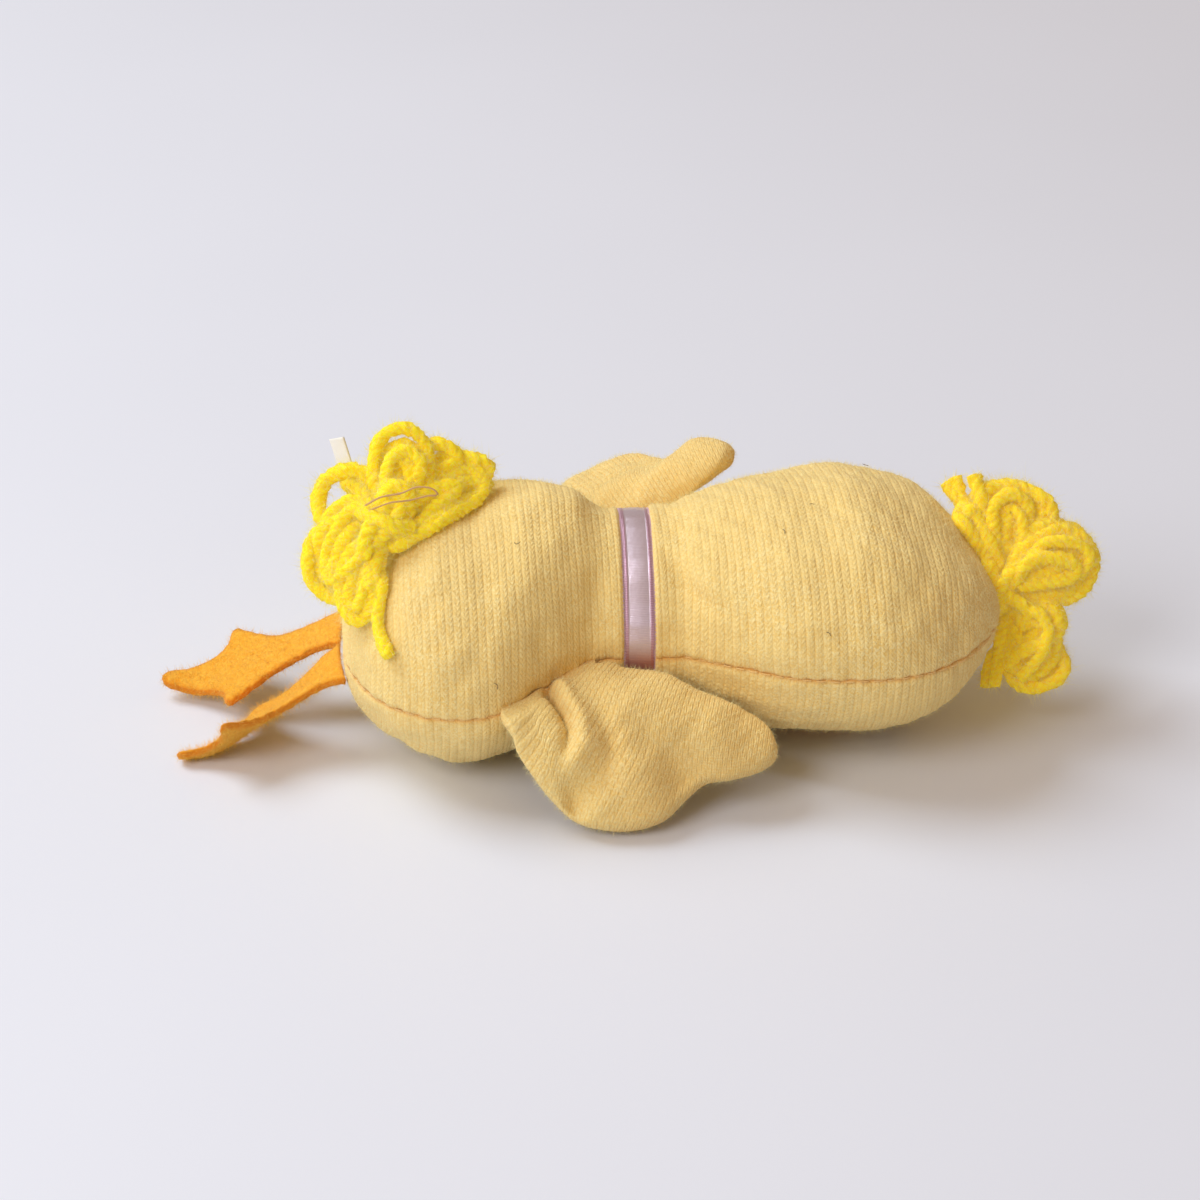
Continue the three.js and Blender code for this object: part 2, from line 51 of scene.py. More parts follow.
# Camera and studio
# The photograph looks down on the toy from its right side with a long lens. It lies on pale board that
# runs on behind it, under a wide soft light from above and behind, with weaker light from the front.
view_target = Vector((14.3, 0, 14.1)) * MM
view_distance = 322.6 * MM
view_elevation = math.radians(29)
view_azimuth = math.radians(-2.5)
toward_camera = Vector((
    math.sin(view_azimuth) * math.cos(view_elevation),
    -math.cos(view_azimuth) * math.cos(view_elevation),
    math.sin(view_elevation),
))


def in_scene(name, data):
    """New object of that data, linked to the scene."""
    thing = bpy.data.objects.new(name, data)
    bpy.context.scene.collection.objects.link(thing)
    return thing


camera_data = bpy.data.cameras.new("camera")
camera_data.lens = 90
camera_data.sensor_width = 36
camera = in_scene("camera", camera_data)
camera.location = view_target + view_distance * toward_camera
camera.rotation_euler = toward_camera.to_track_quat("Z", "Y").to_euler()
bpy.context.scene.camera = camera
bpy.context.scene.view_settings.view_transform = "Standard"


def put(tree, kind, inputs=None, **settings):
    """Add a node, with its settings, and its inputs given as numbers or as sockets to link from."""
    node = tree.nodes.new(kind)
    for key, value in settings.items():
        setattr(node, key, value)
    for key, value in (inputs or {}).items():
        if isinstance(value, bpy.types.NodeSocket):
            tree.links.new(value, node.inputs[key])
        else:
            node.inputs[key].default_value = value
    return node


def calc(tree, operation, *values):
    """Output of a Math node."""
    return put(tree, "ShaderNodeMath", dict(enumerate(values)), operation=operation).outputs[0]


def ranged(tree, value, low, high, to_low=0.0, to_high=1.0):
    """A value taken smoothly from one range to another."""
    inputs = {"Value": value, "From Min": low, "From Max": high, "To Min": to_low, "To Max": to_high}
    return put(tree, "ShaderNodeMapRange", inputs, interpolation_type="SMOOTHSTEP").outputs[0]


def blended(tree, share, a, b):
    """Colour between a and b."""
    return put(tree, "ShaderNodeMix", {0: share, 6: a, 7: b}, data_type="RGBA").outputs[2]


def noise(tree, place, scale, **more):
    """Value of a noise texture."""
    return put(tree, "ShaderNodeTexNoise", {"Vector": place, "Scale": scale, **more}).outputs[0]


def object_place(tree):
    return put(tree, "ShaderNodeTexCoord").outputs["Object"]


def tint(red, green, blue):
    """Linear colour of an sRGB one given from 0 to 255."""
    parts = [c / 255 for c in (red, green, blue)]
    return (*[c / 12.92 if c <= 0.04045 else ((c + 0.055) / 1.055) ** 2.4 for c in parts], 1.0)


def new_material(name, **constants):
    """Material with a Principled shader, its constant inputs set by name."""
    material = bpy.data.materials.new(name)
    material.use_nodes = True
    shader = material.node_tree.nodes["Principled BSDF"]
    for key, value in constants.items():
        shader.inputs[key.replace("_", " ")].default_value = value
    return material, material.node_tree, shader


def covered(tree, shader, colour, height=None, strength=0.0, distance=0.0):
    """Give a shader its colour, and relief from a height where there is one."""
    tree.links.new(colour, shader.inputs["Base Color"])
    if height is not None:
        relief = put(tree, "ShaderNodeBump", {"Height": height, "Strength": strength, "Distance": distance})
        tree.links.new(relief.outputs[0], shader.inputs["Normal"])


def flecked(name, place, scale, dark, light, **constants):
    """Material whose colour wanders between two, over its object or its weave."""
    material, tree, shader = new_material(name, **constants)
    covered(tree, shader, blended(tree, noise(tree, place(tree), scale), dark, light))
    return material


FLOOR_SIZE, FLOOR_SINK = 3, 0.1 * MM
board = flecked("board", object_place, 9, tint(226, 231, 242), tint(233, 238, 249), Roughness=0.4)
bpy.ops.mesh.primitive_plane_add(size=FLOOR_SIZE, location=(0, 0, -FLOOR_SINK))
floor = bpy.context.object
floor.name = "floor"
floor.data.materials.append(board)


def add_light(name, position, size, watts, colour=(1, 1, 1)):
    """Square area light that faces the toy."""
    data = bpy.data.lights.new(name, "AREA")
    data.size = size
    data.energy = watts
    data.color = colour
    light = in_scene(name, data)
    light.location = position
    light.rotation_euler = (Vector(position) - view_target).to_track_quat("Z", "Y").to_euler()


add_light("window", (-0.46, 0.26, 0.66), 0.5, 5.1, (0.83, 0.92, 1.0))
add_light("front", (-0.46, -0.48, 0.52), 0.42, 3.0, (0.96, 0.97, 1.0))
world = bpy.data.worlds.new("room")
bpy.context.scene.world = world
world.use_nodes = True
background = world.node_tree.nodes["Background"].inputs
background["Color"].default_value = (1.0, 0.72, 0.52, 1)
background["Strength"].default_value = 0.36


# Knitted cloth
# Brushed jersey 0.9 mm thick, cut with its wales running round the girth. Each wale is a soft column of
# V stitches 0.83 mm wide, and loose fibres stand off the whole surface.
CLOTH = 0.9
WALE = 0.83
COURSE = 0.6
WALE_RELIEF = 0.018
FINE = 4     # fine grid steps in one step of the coarse grid behind them
WELD = 5000  # a millimetre has this many steps, and points in the same step become one


def mix(a, b, t):
    return a + (b - a) * t


def smooth(t):
    """0 to 1 with a soft start and end."""
    t = np.clip(t, 0, 1)
    return t * t * (3 - 2 * t)


def waves(points, size, seed):
    """Smooth random bumps between about -1 and 1, that far apart."""
    draw = np.random.default_rng(seed)
    total = 0
    for _ in range(7):
        direction = draw.normal(size=3)
        direction *= 2 * np.pi / (np.linalg.norm(direction) * size * draw.uniform(0.7, 1.4))
        total = total + np.sin(points @ direction + draw.uniform(0, 2 * np.pi))
    return total / 2.6


def grid_triangles(rows, columns):
    """Triangles of a grid of points numbered row by row."""
    i, j = np.meshgrid(np.arange(rows - 1), np.arange(columns - 1), indexing="ij")
    a = (i * columns + j).ravel()
    b, c, d = a + 1, a + columns + 1, a + columns
    return np.concatenate([np.stack([a, b, c], 1), np.stack([a, c, d], 1)])


def grid_rim(rows, columns):
    """Border of such a grid as a closed run of point numbers."""
    index = np.arange(rows * columns).reshape(rows, columns)
    return np.concatenate([index[0, :-1], index[:-1, -1], index[-1, :0:-1], index[:0:-1, 0]])


def grid_normals(points, away_from):
    """Unit normals of a grid of points, on the side that faces away from a point or line of points."""
    normals = np.cross(np.gradient(points, axis=0), np.gradient(points, axis=1))
    length = np.linalg.norm(normals, axis=2, keepdims=True)
    normals /= np.maximum(length, 1e-9)
    for edge, inner in ((0, 1), (-1, -2)):
        if length[edge].max() < 1e-6:
            normals[edge] = normals[inner].mean(0)
    facing = (normals * (points - away_from)).sum(2, keepdims=True)
    return normals * np.sign(facing.mean())


def joined(parts):
    """Points and triangles of several meshes as one."""
    starts = np.cumsum([0] + [len(points) for points, _ in parts])
    triangles = [faces + start for (_, faces), start in zip(parts, starts)]
    return np.concatenate([points for points, _ in parts]), np.concatenate(triangles)


def shell(outer, inner):
    """Closed wall between a fine outer grid and a coarse inner one: points and triangles."""
    rows, columns = outer.shape[:2]
    points, faces = joined([
        (outer.reshape(-1, 3), grid_triangles(rows, columns)),
        (inner.reshape(-1, 3), grid_triangles(*inner.shape[:2])[:, ::-1]),
    ])
    fine = grid_rim(rows, columns)
    coarse = grid_rim(*inner.shape[:2]) + rows * columns
    near, far = coarse, np.roll(coarse, -1)
    fine = np.append(fine, fine[0])
    first = np.arange(len(coarse)) * FINE
    half = FINE // 2
    bridge = [np.stack([fine[first + half], near, far], 1)]
    for k in range(FINE):
        corner = near if k < half else far
        bridge.append(np.stack([fine[first + k + 1], fine[first + k], corner], 1))
    return points, np.concatenate([faces, *bridge])


def make_piece(name, points, faces, material, weave=None, **marks):
    """Smooth-shaded mesh from points in millimetres and triangles, which are turned out. The weave gives
    each point's wale and course, and marks are other values per point."""
    points = np.asarray(points, float)
    steps = np.round(points * WELD).astype(np.int64)
    _, first, index = np.unique(steps, axis=0, return_index=True, return_inverse=True)
    faces = index.ravel()[faces]
    a, b, c = faces.T
    faces = faces[(a != b) & (b != c) & (c != a)]
    points = points[first]
    a, b, c = points[faces.T]
    if (a * np.cross(b, c)).sum() < 0:
        faces = faces[:, ::-1]
    mesh = bpy.data.meshes.new(name)
    mesh.from_pydata(points * MM, [], faces)
    mesh.polygons.foreach_set("use_smooth", np.ones(len(mesh.polygons), bool))
    if weave is not None:
        corners = np.empty(len(mesh.loops), int)
        mesh.loops.foreach_get("vertex_index", corners)
        places = np.asarray(weave)[first][corners]
        mesh.uv_layers.new(name="weave").data.foreach_set("uv", places.ravel())
    for key, values in marks.items():
        values = np.asarray(values, np.float32).ravel()[first]
        mesh.attributes.new(key, "FLOAT", "POINT").data.foreach_set("value", values)
    mesh.update()
    mesh.materials.append(material)
    return in_scene(name, mesh)


def weave_place(tree):
    """Place in a piece's own map: wale and course of a cloth, or length and turn of a thread."""
    return put(tree, "ShaderNodeUVMap", uv_map="weave").outputs[0]


def parts_of(tree, vector):
    return put(tree, "ShaderNodeSeparateXYZ", {0: vector}).outputs


def new_group(name, inputs, outputs):
    """Shader node group with those sockets."""
    group = bpy.data.node_groups.new(name, "ShaderNodeTree")
    for key, kind in inputs.items():
        group.interface.new_socket(key, in_out="INPUT", socket_type=kind)
    for key, kind in outputs.items():
        group.interface.new_socket(key, in_out="OUTPUT", socket_type=kind)
    return group, group.nodes.new("NodeGroupInput").outputs, group.nodes.new("NodeGroupOutput").inputs


FLOAT, COLOUR, VECTOR = "NodeSocketFloat", "NodeSocketColor", "NodeSocketVector"

# stitches: V stitches in columns, from wale and course numbers
stitches, given, made = new_group("stitches", {"Weave": VECTOR}, {"Height": FLOAT, "Groove": FLOAT})
weave_parts = parts_of(stitches, given["Weave"])
off_centre = calc(stitches, "SUBTRACT", calc(stitches, "FRACT", weave_parts[0]), 0.5)
wale_side = calc(stitches, "ABSOLUTE", off_centre)
leg = calc(stitches, "ADD", weave_parts[1], calc(stitches, "MULTIPLY", wale_side, 1.5))
leg_wave = calc(stitches, "COSINE", calc(stitches, "MULTIPLY", leg, 2 * math.pi))
leg_height = calc(stitches, "MULTIPLY_ADD", leg_wave, 0.5, 0.5)
off_middle = calc(stitches, "POWER", calc(stitches, "MULTIPLY", wale_side, 2.0), 2.5)
column = calc(stitches, "SUBTRACT", 1.0, off_middle)
off_leg = calc(stitches, "ABSOLUTE", calc(stitches, "MULTIPLY_ADD", wale_side, 4.0, -1.0))
leg_ridge = calc(stitches, "SUBTRACT", 1.0, calc(stitches, "MULTIPLY", off_leg, off_leg))
column = calc(stitches, "MULTIPLY_ADD", leg_ridge, 0.5, calc(stitches, "MULTIPLY", column, 0.5))
stitch_height = calc(stitches, "MULTIPLY", column, calc(stitches, "MULTIPLY_ADD", leg_height, 0.6, 0.4))
stitches.links.new(stitch_height, made["Height"])
# the groove share marks the low parts between wales and between the legs of each V, where the knit gets
# painted shade
stitch_middle = ranged(stitches, wale_side, 0.12, 0.0, 0.0, 0.55)
groove = calc(stitches, "ADD", ranged(stitches, wale_side, 0.36, 0.5), stitch_middle)
stitches.links.new(groove, made["Groove"])

# mottle: a colour broken up by fibres that lie every way, and by broad faint patches
mottle, given, made = new_group(
    "mottle",
    {"Place": VECTOR, "Light": COLOUR, "Mid": COLOUR, "Deep": COLOUR, "Fibre Scale": FLOAT},
    {"Color": COLOUR, "Height": FLOAT},
)
fibre_noise = noise(mottle, given["Place"], given["Fibre Scale"], Detail=3, Roughness=0.65, Distortion=1.2)
fibres = ranged(mottle, fibre_noise, 0.36, 0.66)
patches = ranged(mottle, noise(mottle, given["Place"], 140), 0.35, 0.65, 0.35, 0.65)
lit = blended(mottle, fibres, given["Deep"], given["Light"])
mottle.links.new(blended(mottle, patches, lit, given["Mid"]), made["Color"])
mottle.links.new(fibre_noise, made["Height"])


def mottled(tree, light, mid, deep, fibre_scale):
    """Colour and height of the mottle on a piece."""
    inputs = {
        "Place": object_place(tree), "Light": light, "Mid": mid, "Deep": deep, "Fibre Scale": fibre_scale}
    return put(tree, "ShaderNodeGroup", inputs, node_tree=mottle).outputs


# knit: stitches seen through a bloom of fibre, with painted shade between the wales and painted shade in the
# creases at seams
knit, knit_tree, knit_shader = new_material(
    "knit", Roughness=0.95, Specular_IOR_Level=0.15,
    Sheen_Weight=0.35, Sheen_Roughness=0.6, Sheen_Tint=tint(255, 236, 190))
stitch = put(knit_tree, "ShaderNodeGroup", {"Weave": weave_place(knit_tree)}, node_tree=stitches).outputs
bloom = mottled(knit_tree, tint(255, 240, 178), tint(249, 221, 144), tint(240, 200, 108), 3200.0)
# painted shade between wales, stronger and weaker in broad patches
groove_shade_strength = ranged(knit_tree, noise(knit_tree, object_place(knit_tree), 260), 0.35, 0.65, 0.08, 0.42)
painted_wale_shade = calc(knit_tree, "MULTIPLY", stitch["Groove"], groove_shade_strength)
cloth_colour = blended(knit_tree, painted_wale_shade, bloom["Color"], tint(232, 178, 78))
# painted shade in the creases: the seam valleys of the panels, and the sewn root, rim and rib grooves of the
# wings
shade_in_creases = put(knit_tree, "ShaderNodeAttribute", attribute_name="crease").outputs["Fac"]
knit_colour = blended(knit_tree, shade_in_creases, cloth_colour, tint(236, 178, 92))
knit_height = calc(knit_tree, "MULTIPLY_ADD", bloom["Height"], 0.9, stitch["Height"])
covered(knit_tree, knit_shader, knit_colour, knit_height, 0.55, 0.14 * MM)


# Body and head panels
# A back and a front of jersey are sewn together along each side and turned, so that the seam lies in a
# narrow valley. The skin is filled hard, narrows to a tied neck, and bulges over both edges of the ribbon.
BODY_HALF_WIDTH, BODY_BACK, BODY_BELLY, BODY_SEAM = 19.4, 14.6, 11.5, 11.0
RUMP_LENGTH, SHOULDER_LENGTH, SHOULDER_HUMP = 13.5, 18.0, 1.2
NECK_RADIUS, NECK_HEIGHT, NECK_X = 9.5, 13.0, 18.0
HEAD_HALF_WIDTH, HEAD_BACK, HEAD_FACE, HEAD_SEAM = 18.8, 12.8, 12.7, 14.2
CHEEK_LENGTH, CROWN_LENGTH, HEAD_X = 22.0, 16.8, 40.0
NECK_BULGE = 11.1     # radius of the skin beside the ribbon
NECK_TUCK = 10.2      # and under it
BULGE_AT = 2.0        # from the middle of the ribbon
BULGE_REACH = 4.5     # from there to where the skin has its own form again
SEAM_DEPTH = 0.25
SEAM_SPREAD = 0.36
LUMPS = ((0.22, 11), (0.07, 3.1), (0.02, 0.7))        # height and size of the filling's lumps in the skin
PUCKER, PUCKER_APART, PUCKER_REACH = 0.1, 2.6, 1.3    # puckers beside the seams
GATHERS, GATHER_FOLDS, GATHER_REACH = 0.12, 13, 3.2   # folds beside the ribbon
WALE_LEAN = 0.05
POLE_FADE = 2.5                                       # relief fades out over this much at rump and crown
TIE_HALF, TIE_FADE = 1.2, 1.9                         # and over this much beside the tie
PANEL_COLUMNS = 160
PANEL_ROW = 0.155


def dome(t, p, q):
    """1 in the middle and 0 at the end, by two powers."""
    return np.maximum(0, 1 - np.clip(t, 0, 1) ** p) ** q


def section(x, inset=0.0):
    """Half width, rise, drop and seam height of the skin at x."""
    x = np.asarray(x, float)
    neck = NECK_RADIUS - inset
    body = [BODY_HALF_WIDTH - inset, BODY_BACK - inset, BODY_BELLY - inset]
    head = [HEAD_HALF_WIDTH - inset, HEAD_BACK - inset, HEAD_FACE - inset]
    rump = -x / (RUMP_LENGTH - inset)
    shoulder = np.clip(x / SHOULDER_LENGTH, 0, 1)
    cheek = np.clip((x - NECK_X) / CHEEK_LENGTH, 0, 1)
    crown = (x - HEAD_X) / (CROWN_LENGTH - inset)
    zones = [x < 0, x < NECK_X, x < HEAD_X]
    hump = SHOULDER_HUMP * np.sin(np.pi * shoulder) ** 2
    width = np.select(zones, [
        body[0] * dome(rump, 2.2, 0.45),
        mix(neck, body[0], np.cos(np.pi * shoulder / 2) ** 2.4),
        mix(neck, head[0], np.sin(np.pi * cheek / 2) ** 1.4),
    ], head[0] * dome(crown, 2.3, 0.435))
    rise = np.select(zones, [
        body[1] * dome(rump, 2.4, 0.5),
        mix(neck, body[1], dome(shoulder, 4, 1.4)) + hump,
        mix(neck, head[1], dome(1 - cheek, 4, 1.4)),
    ], head[1] * dome(crown, 1.8, 0.62))
    drop = np.select(zones, [
        body[2] * dome(rump, 2.2, 0.45),
        mix(neck, body[2], dome(shoulder, 2, 1)),
        mix(neck, head[2], dome(1 - cheek, 2, 1)),
    ], head[2] * dome(crown, 2.2, 0.5))
    seam = np.select(zones, [
        BODY_SEAM + 0 * x,
        mix(BODY_SEAM, NECK_HEIGHT, shoulder ** 1.5),
        mix(NECK_HEIGHT, HEAD_SEAM, cheek ** 0.8),
    ], HEAD_SEAM)
    return width, rise, drop, seam


def skin(x, angle, inset=0.0):
    """Points of the skin at x and angle round the girth, from the left side seam over the back."""
    width, rise, drop, seam = section(x, inset)
    tall = np.where(np.sin(angle) < 0, drop, rise)
    return np.stack(np.broadcast_arrays(x, width * np.cos(angle), seam + tall * np.sin(angle)), -1)


def core(x):
    """Points inside the skin at x, level with its side seams."""
    return np.stack([x, 0 * x, section(x)[3]], -1)


def neck_ring(x, radius, angle):
    """Points round the neck's axis."""
    return np.stack(np.broadcast_arrays(x, radius * np.cos(angle), NECK_HEIGHT + radius * np.sin(angle)), -1)


def beside_ribbon(points, x, angle):
    """Draw the skin out to a round roll on each side of the ribbon, and in under it."""
    off = np.abs(x - NECK_X)
    radius = mix(NECK_TUCK, NECK_BULGE, smooth((off - 1.1) / 0.9))
    share = smooth(1 - (off - BULGE_AT) / BULGE_REACH)
    return mix(points, neck_ring(x, radius, angle), share[..., None] * np.ones_like(points))


# Hollows where the neck tie and the seams pull the skin in, as x and angle in degrees of the middle, half
# width, half length, depth, and slant of their length from straight round the girth
HOLLOWS = [
    (23.5, 232, 2.6, 5.5, 0.9, 0),
    (24.5, 200, 3.2, 2.6, -0.35, 0),
    (23.0, 139, 1.2, 4.2, 0.6, -30),
    (25.6, 141, 1.6, 4.2, -0.3, -30),
    (12.0, 215, 3.0, 3.5, 0.5, 0),
    (13.2, 150, 1.3, 3.2, 0.3, 20),
    (-6.0, 205, 3.0, 3.0, 0.45, 0),
    (0.2, 158, 1.2, 3.4, 0.32, 24),
    (-3.7, 136, 1.3, 3.2, 0.25, 30),
    (7.5, 161, 1.1, 2.8, 0.28, -18),
    (50.7, 163, 1.6, 3.6, 0.3, 10),
    (30.0, 330, 3.5, 4.5, 0.5, 0),
    (8.0, 20, 3.5, 3.5, 0.4, 0),
]


def panel_rows(start, end, pole_at_start):
    """Even steps along the skin from start to end, as x and as the length run from the pole."""
    u = np.linspace(0, 1, 3000)
    x = mix(start, end, u ** 2 if pole_at_start else 1 - (1 - u) ** 2)
    width, rise, _, _ = section(x)
    step = np.hypot(np.diff(x), np.diff((width + rise) / 2))
    run = np.concatenate([[0], np.cumsum(step)])
    count = FINE * round(run[-1] / PANEL_ROW / FINE)
    even = np.linspace(0, run[-1], count + 1)
    return np.interp(even, run, x), even


def hollowed(x, angle, girth):
    """Depth of all the hollows at x and angle."""
    total = np.zeros(x.shape)
    for hollow_x, hollow_angle, half_width, half_length, depth, slant in HOLLOWS:
        forward = x - hollow_x
        arc = np.radians((np.degrees(angle) - hollow_angle + 180) % 360 - 180) * girth
        lean_cos, lean_sin = math.cos(math.radians(slant)), math.sin(math.radians(slant))
        across = (forward * lean_cos + arc * lean_sin) / half_width
        length = (arc * lean_cos - forward * lean_sin) / half_length
        total += depth * np.exp(-across ** 2 - length ** 2)
    return total


def jersey(name, outer, inner, weave, crease, nap):
    """Closed piece of the knitted cloth between its two faces, the inner one plain."""
    blank = np.zeros((inner.shape[0] * inner.shape[1], 2))
    crease, nap = (np.concatenate([values.ravel(), blank[:, 0]]) for values in (crease, nap))
    weave = np.concatenate([weave.reshape(-1, 2), blank])
    return make_piece(name, *shell(outer, inner), knit, weave, crease=crease, nap=nap)


def knit_panel(name, start, end, side, seed):
    """One panel as a closed shell: its outside with wales and puckers, its inside plain."""
    x, run = panel_rows(start, end, pole_at_start=start < 0)
    turn = side * np.linspace(0, np.pi, PANEL_COLUMNS + 1)
    grid_x, angle = np.meshgrid(x, turn, indexing="ij")
    base = beside_ribbon(skin(grid_x, angle), grid_x, angle)
    middle = core(grid_x)
    width, rise, drop, _ = section(grid_x)
    girth = (width + (rise if side > 0 else drop)) / 2
    from_seam = np.minimum(np.abs(turn), np.pi - np.abs(turn)) * girth
    from_neck = np.abs(grid_x - NECK_X)
    wales = np.broadcast_to(run[:, None], grid_x.shape) / WALE
    courses = (np.abs(turn) - np.pi / 2) * girth / COURSE
    lean = WALE_LEAN * base[..., 1] / WALE

    height = -hollowed(grid_x, angle, girth)
    for number, (lump_height, lump_size) in enumerate(LUMPS, 2):
        height += lump_height * waves(base, lump_size, seed + number)
    height += WALE_RELIEF * -np.cos(2 * np.pi * (wales + lean))
    valley = np.exp(-((from_seam / SEAM_SPREAD) ** 2))
    height -= SEAM_DEPTH * valley
    pucker = np.sin(2 * np.pi * wales / PUCKER_APART + 1.5 * waves(base, 9, seed))
    height += PUCKER * pucker * np.exp(-from_seam / PUCKER_REACH)
    folds = np.sin(GATHER_FOLDS * angle + 2.2 * waves(base, 14, seed + 1))
    height += GATHERS * folds * np.exp(-np.maximum(0, from_neck - 1.6) / GATHER_REACH)
    height *= smooth(girth / POLE_FADE) * smooth((from_neck - TIE_HALF) / TIE_FADE)

    outer = base + grid_normals(base, middle) * height[..., None]
    outer[..., 2] = np.maximum(outer[..., 2], 0)
    inner_x, inner_angle = grid_x[::FINE, ::FINE], angle[::FINE, ::FINE]
    inner = beside_ribbon(skin(inner_x, inner_angle), inner_x, inner_angle)
    inner -= grid_normals(inner, middle[::FINE, ::FINE]) * CLOTH
    inner[..., 2] = np.maximum(inner[..., 2], CLOTH / 2)
    nap = (1 - 0.8 * valley) * smooth((from_neck - 1.4) / 0.8)
    # the seam valley gets painted shade as well as its depth
    return jersey(name, outer, inner, np.stack([wales + lean, courses], -1), 0.85 * valley ** 2, nap)


neck_end = 1.1
body_back = knit_panel("body_back", -RUMP_LENGTH, NECK_X - neck_end, 1, 11)
body_front = knit_panel("body_front", -RUMP_LENGTH, NECK_X - neck_end, -1, 11)
head_back = knit_panel("head_back", NECK_X + neck_end, HEAD_X + CROWN_LENGTH, 1, 37)
head_front = knit_panel("head_front", NECK_X + neck_end, HEAD_X + CROWN_LENGTH, -1, 37)

GEOMETRY, INTEGER, MATERIAL = "NodeSocketGeometry", "NodeSocketInt", "NodeSocketMaterial"


def new_tree(name, inputs):
    """Geometry Nodes tree with those inputs, that gives out one geometry."""
    tree = bpy.data.node_groups.new(name, "GeometryNodeTree")
    for key, kind in {"Geometry": GEOMETRY, **inputs}.items():
        tree.interface.new_socket(key, in_out="INPUT", socket_type=kind)
    tree.interface.new_socket("Geometry", in_out="OUTPUT", socket_type=GEOMETRY)
    return tree, tree.nodes.new("NodeGroupInput").outputs, tree.nodes.new("NodeGroupOutput").inputs


def grown(name, host, tree, **values):
    """Plain mesh of what the tree grows on the host."""
    modifier = host.modifiers.new(name, "NODES")
    modifier.node_group = tree
    for item in tree.interface.items_tree:
        if item.in_out == "INPUT" and item.name in values:
            modifier[item.identifier] = values[item.name]
    evaluated = host.evaluated_get(bpy.context.evaluated_depsgraph_get())
    mesh = bpy.data.meshes.new_from_object(evaluated)
    host.modifiers.remove(modifier)
    return in_scene(name, mesh)


def vector_of(tree, x=0.0, y=0.0, z=0.0):
    return put(tree, "ShaderNodeCombineXYZ", {0: x, 1: y, 2: z}).outputs[0]


def put_out(tree, mesh, material, output):
    """Give out the mesh in that material."""
    dyed = put(tree, "GeometryNodeSetMaterial", {"Geometry": mesh, "Material": material}).outputs[0]
    tree.links.new(dyed, output)


# nap: bent fibres that stand off a mesh, thicker where its "nap" attribute is high
nap_tree, given, made = new_tree("nap", {
    "Density": FLOAT, "Length": FLOAT, "Thickness": FLOAT, "Lean": FLOAT,
    "Segments": INTEGER, "Seed": INTEGER, "Material": MATERIAL})
where_nap = put(nap_tree, "GeometryNodeInputNamedAttribute", {"Name": "nap"}, data_type="FLOAT").outputs[0]
scatter = put(nap_tree, "GeometryNodeDistributePointsOnFaces", {
    "Mesh": given["Geometry"], "Seed": given["Seed"],
    "Density": calc(nap_tree, "MULTIPLY", where_nap, given["Density"]),
}).outputs
fibre = put(nap_tree, "GeometryNodeMeshCone", {
    "Vertices": 3, "Side Segments": given["Segments"], "Radius Top": 0.0,
    "Radius Bottom": given["Thickness"], "Depth": given["Length"],
}).outputs[0]
along = parts_of(nap_tree, put(nap_tree, "GeometryNodeInputPosition").outputs[0])[2]
curl = calc(nap_tree, "DIVIDE", calc(nap_tree, "POWER", along, 2.0), given["Length"])
bent = put(nap_tree, "GeometryNodeSetPosition", {
    "Geometry": fibre, "Offset": vector_of(nap_tree, curl)}).outputs[0]
backward = calc(nap_tree, "MULTIPLY", given["Lean"], -1.0)
spin = put(nap_tree, "FunctionNodeRandomValue", {
    0: vector_of(nap_tree, backward, backward, -math.pi),
    1: vector_of(nap_tree, given["Lean"], given["Lean"], math.pi),
    8: given["Seed"],
}, data_type="FLOAT_VECTOR").outputs[0]
upright = put(
    nap_tree, "FunctionNodeAlignRotationToVector", {"Vector": scatter["Normal"]}, axis="Z").outputs[0]
turned = put(nap_tree, "FunctionNodeRotateRotation", {
    0: upright, 1: put(nap_tree, "FunctionNodeEulerToRotation", {0: spin}).outputs[0],
}, rotation_space="LOCAL").outputs[0]
length_share = put(nap_tree, "FunctionNodeRandomValue", {2: 0.4, 3: 1.25, 8: 3}, data_type="FLOAT").outputs[1]
planted = put(nap_tree, "GeometryNodeInstanceOnPoints", {
    "Points": scatter["Points"], "Instance": bent, "Rotation": turned, "Scale": length_share,
}).outputs[0]
loose = put(nap_tree, "GeometryNodeRealizeInstances", {0: planted}).outputs[0]
spot = put(nap_tree, "GeometryNodeInputPosition").outputs[0]
above_floor = put(
    nap_tree, "ShaderNodeVectorMath", {0: spot, 1: (-1.0, -1.0, 0.0)}, operation="MAXIMUM").outputs[0]
nap_mesh = put(nap_tree, "GeometryNodeSetPosition", {"Geometry": loose, "Position": above_floor}).outputs[0]
put_out(nap_tree, nap_mesh, given["Material"], made["Geometry"])

# thread_row: short arcs of thread set along a line, each rising towards one side
thread_tree, given, made = new_tree("thread_row", {
    "Spacing": FLOAT, "Length": FLOAT, "Rise": FLOAT, "Thickness": FLOAT,
    "Out": VECTOR, "Material": MATERIAL})
line = put(thread_tree, "GeometryNodeMeshToCurve", {0: given["Geometry"]}).outputs[0]
spots = put(thread_tree, "GeometryNodeCurveToPoints", {
    "Curve": line, "Length": given["Spacing"]}, mode="LENGTH").outputs
half_length = calc(thread_tree, "MULTIPLY", given["Length"], 0.5)
arc = put(thread_tree, "GeometryNodeCurveQuadraticBezier", {
    "Resolution": 5,
    "Start": vector_of(thread_tree, calc(thread_tree, "MULTIPLY", half_length, -1.0)),
    "Middle": vector_of(thread_tree, 0.0, calc(thread_tree, "MULTIPLY", given["Rise"], 2.0)),
    "End": vector_of(thread_tree, half_length),
}).outputs[0]
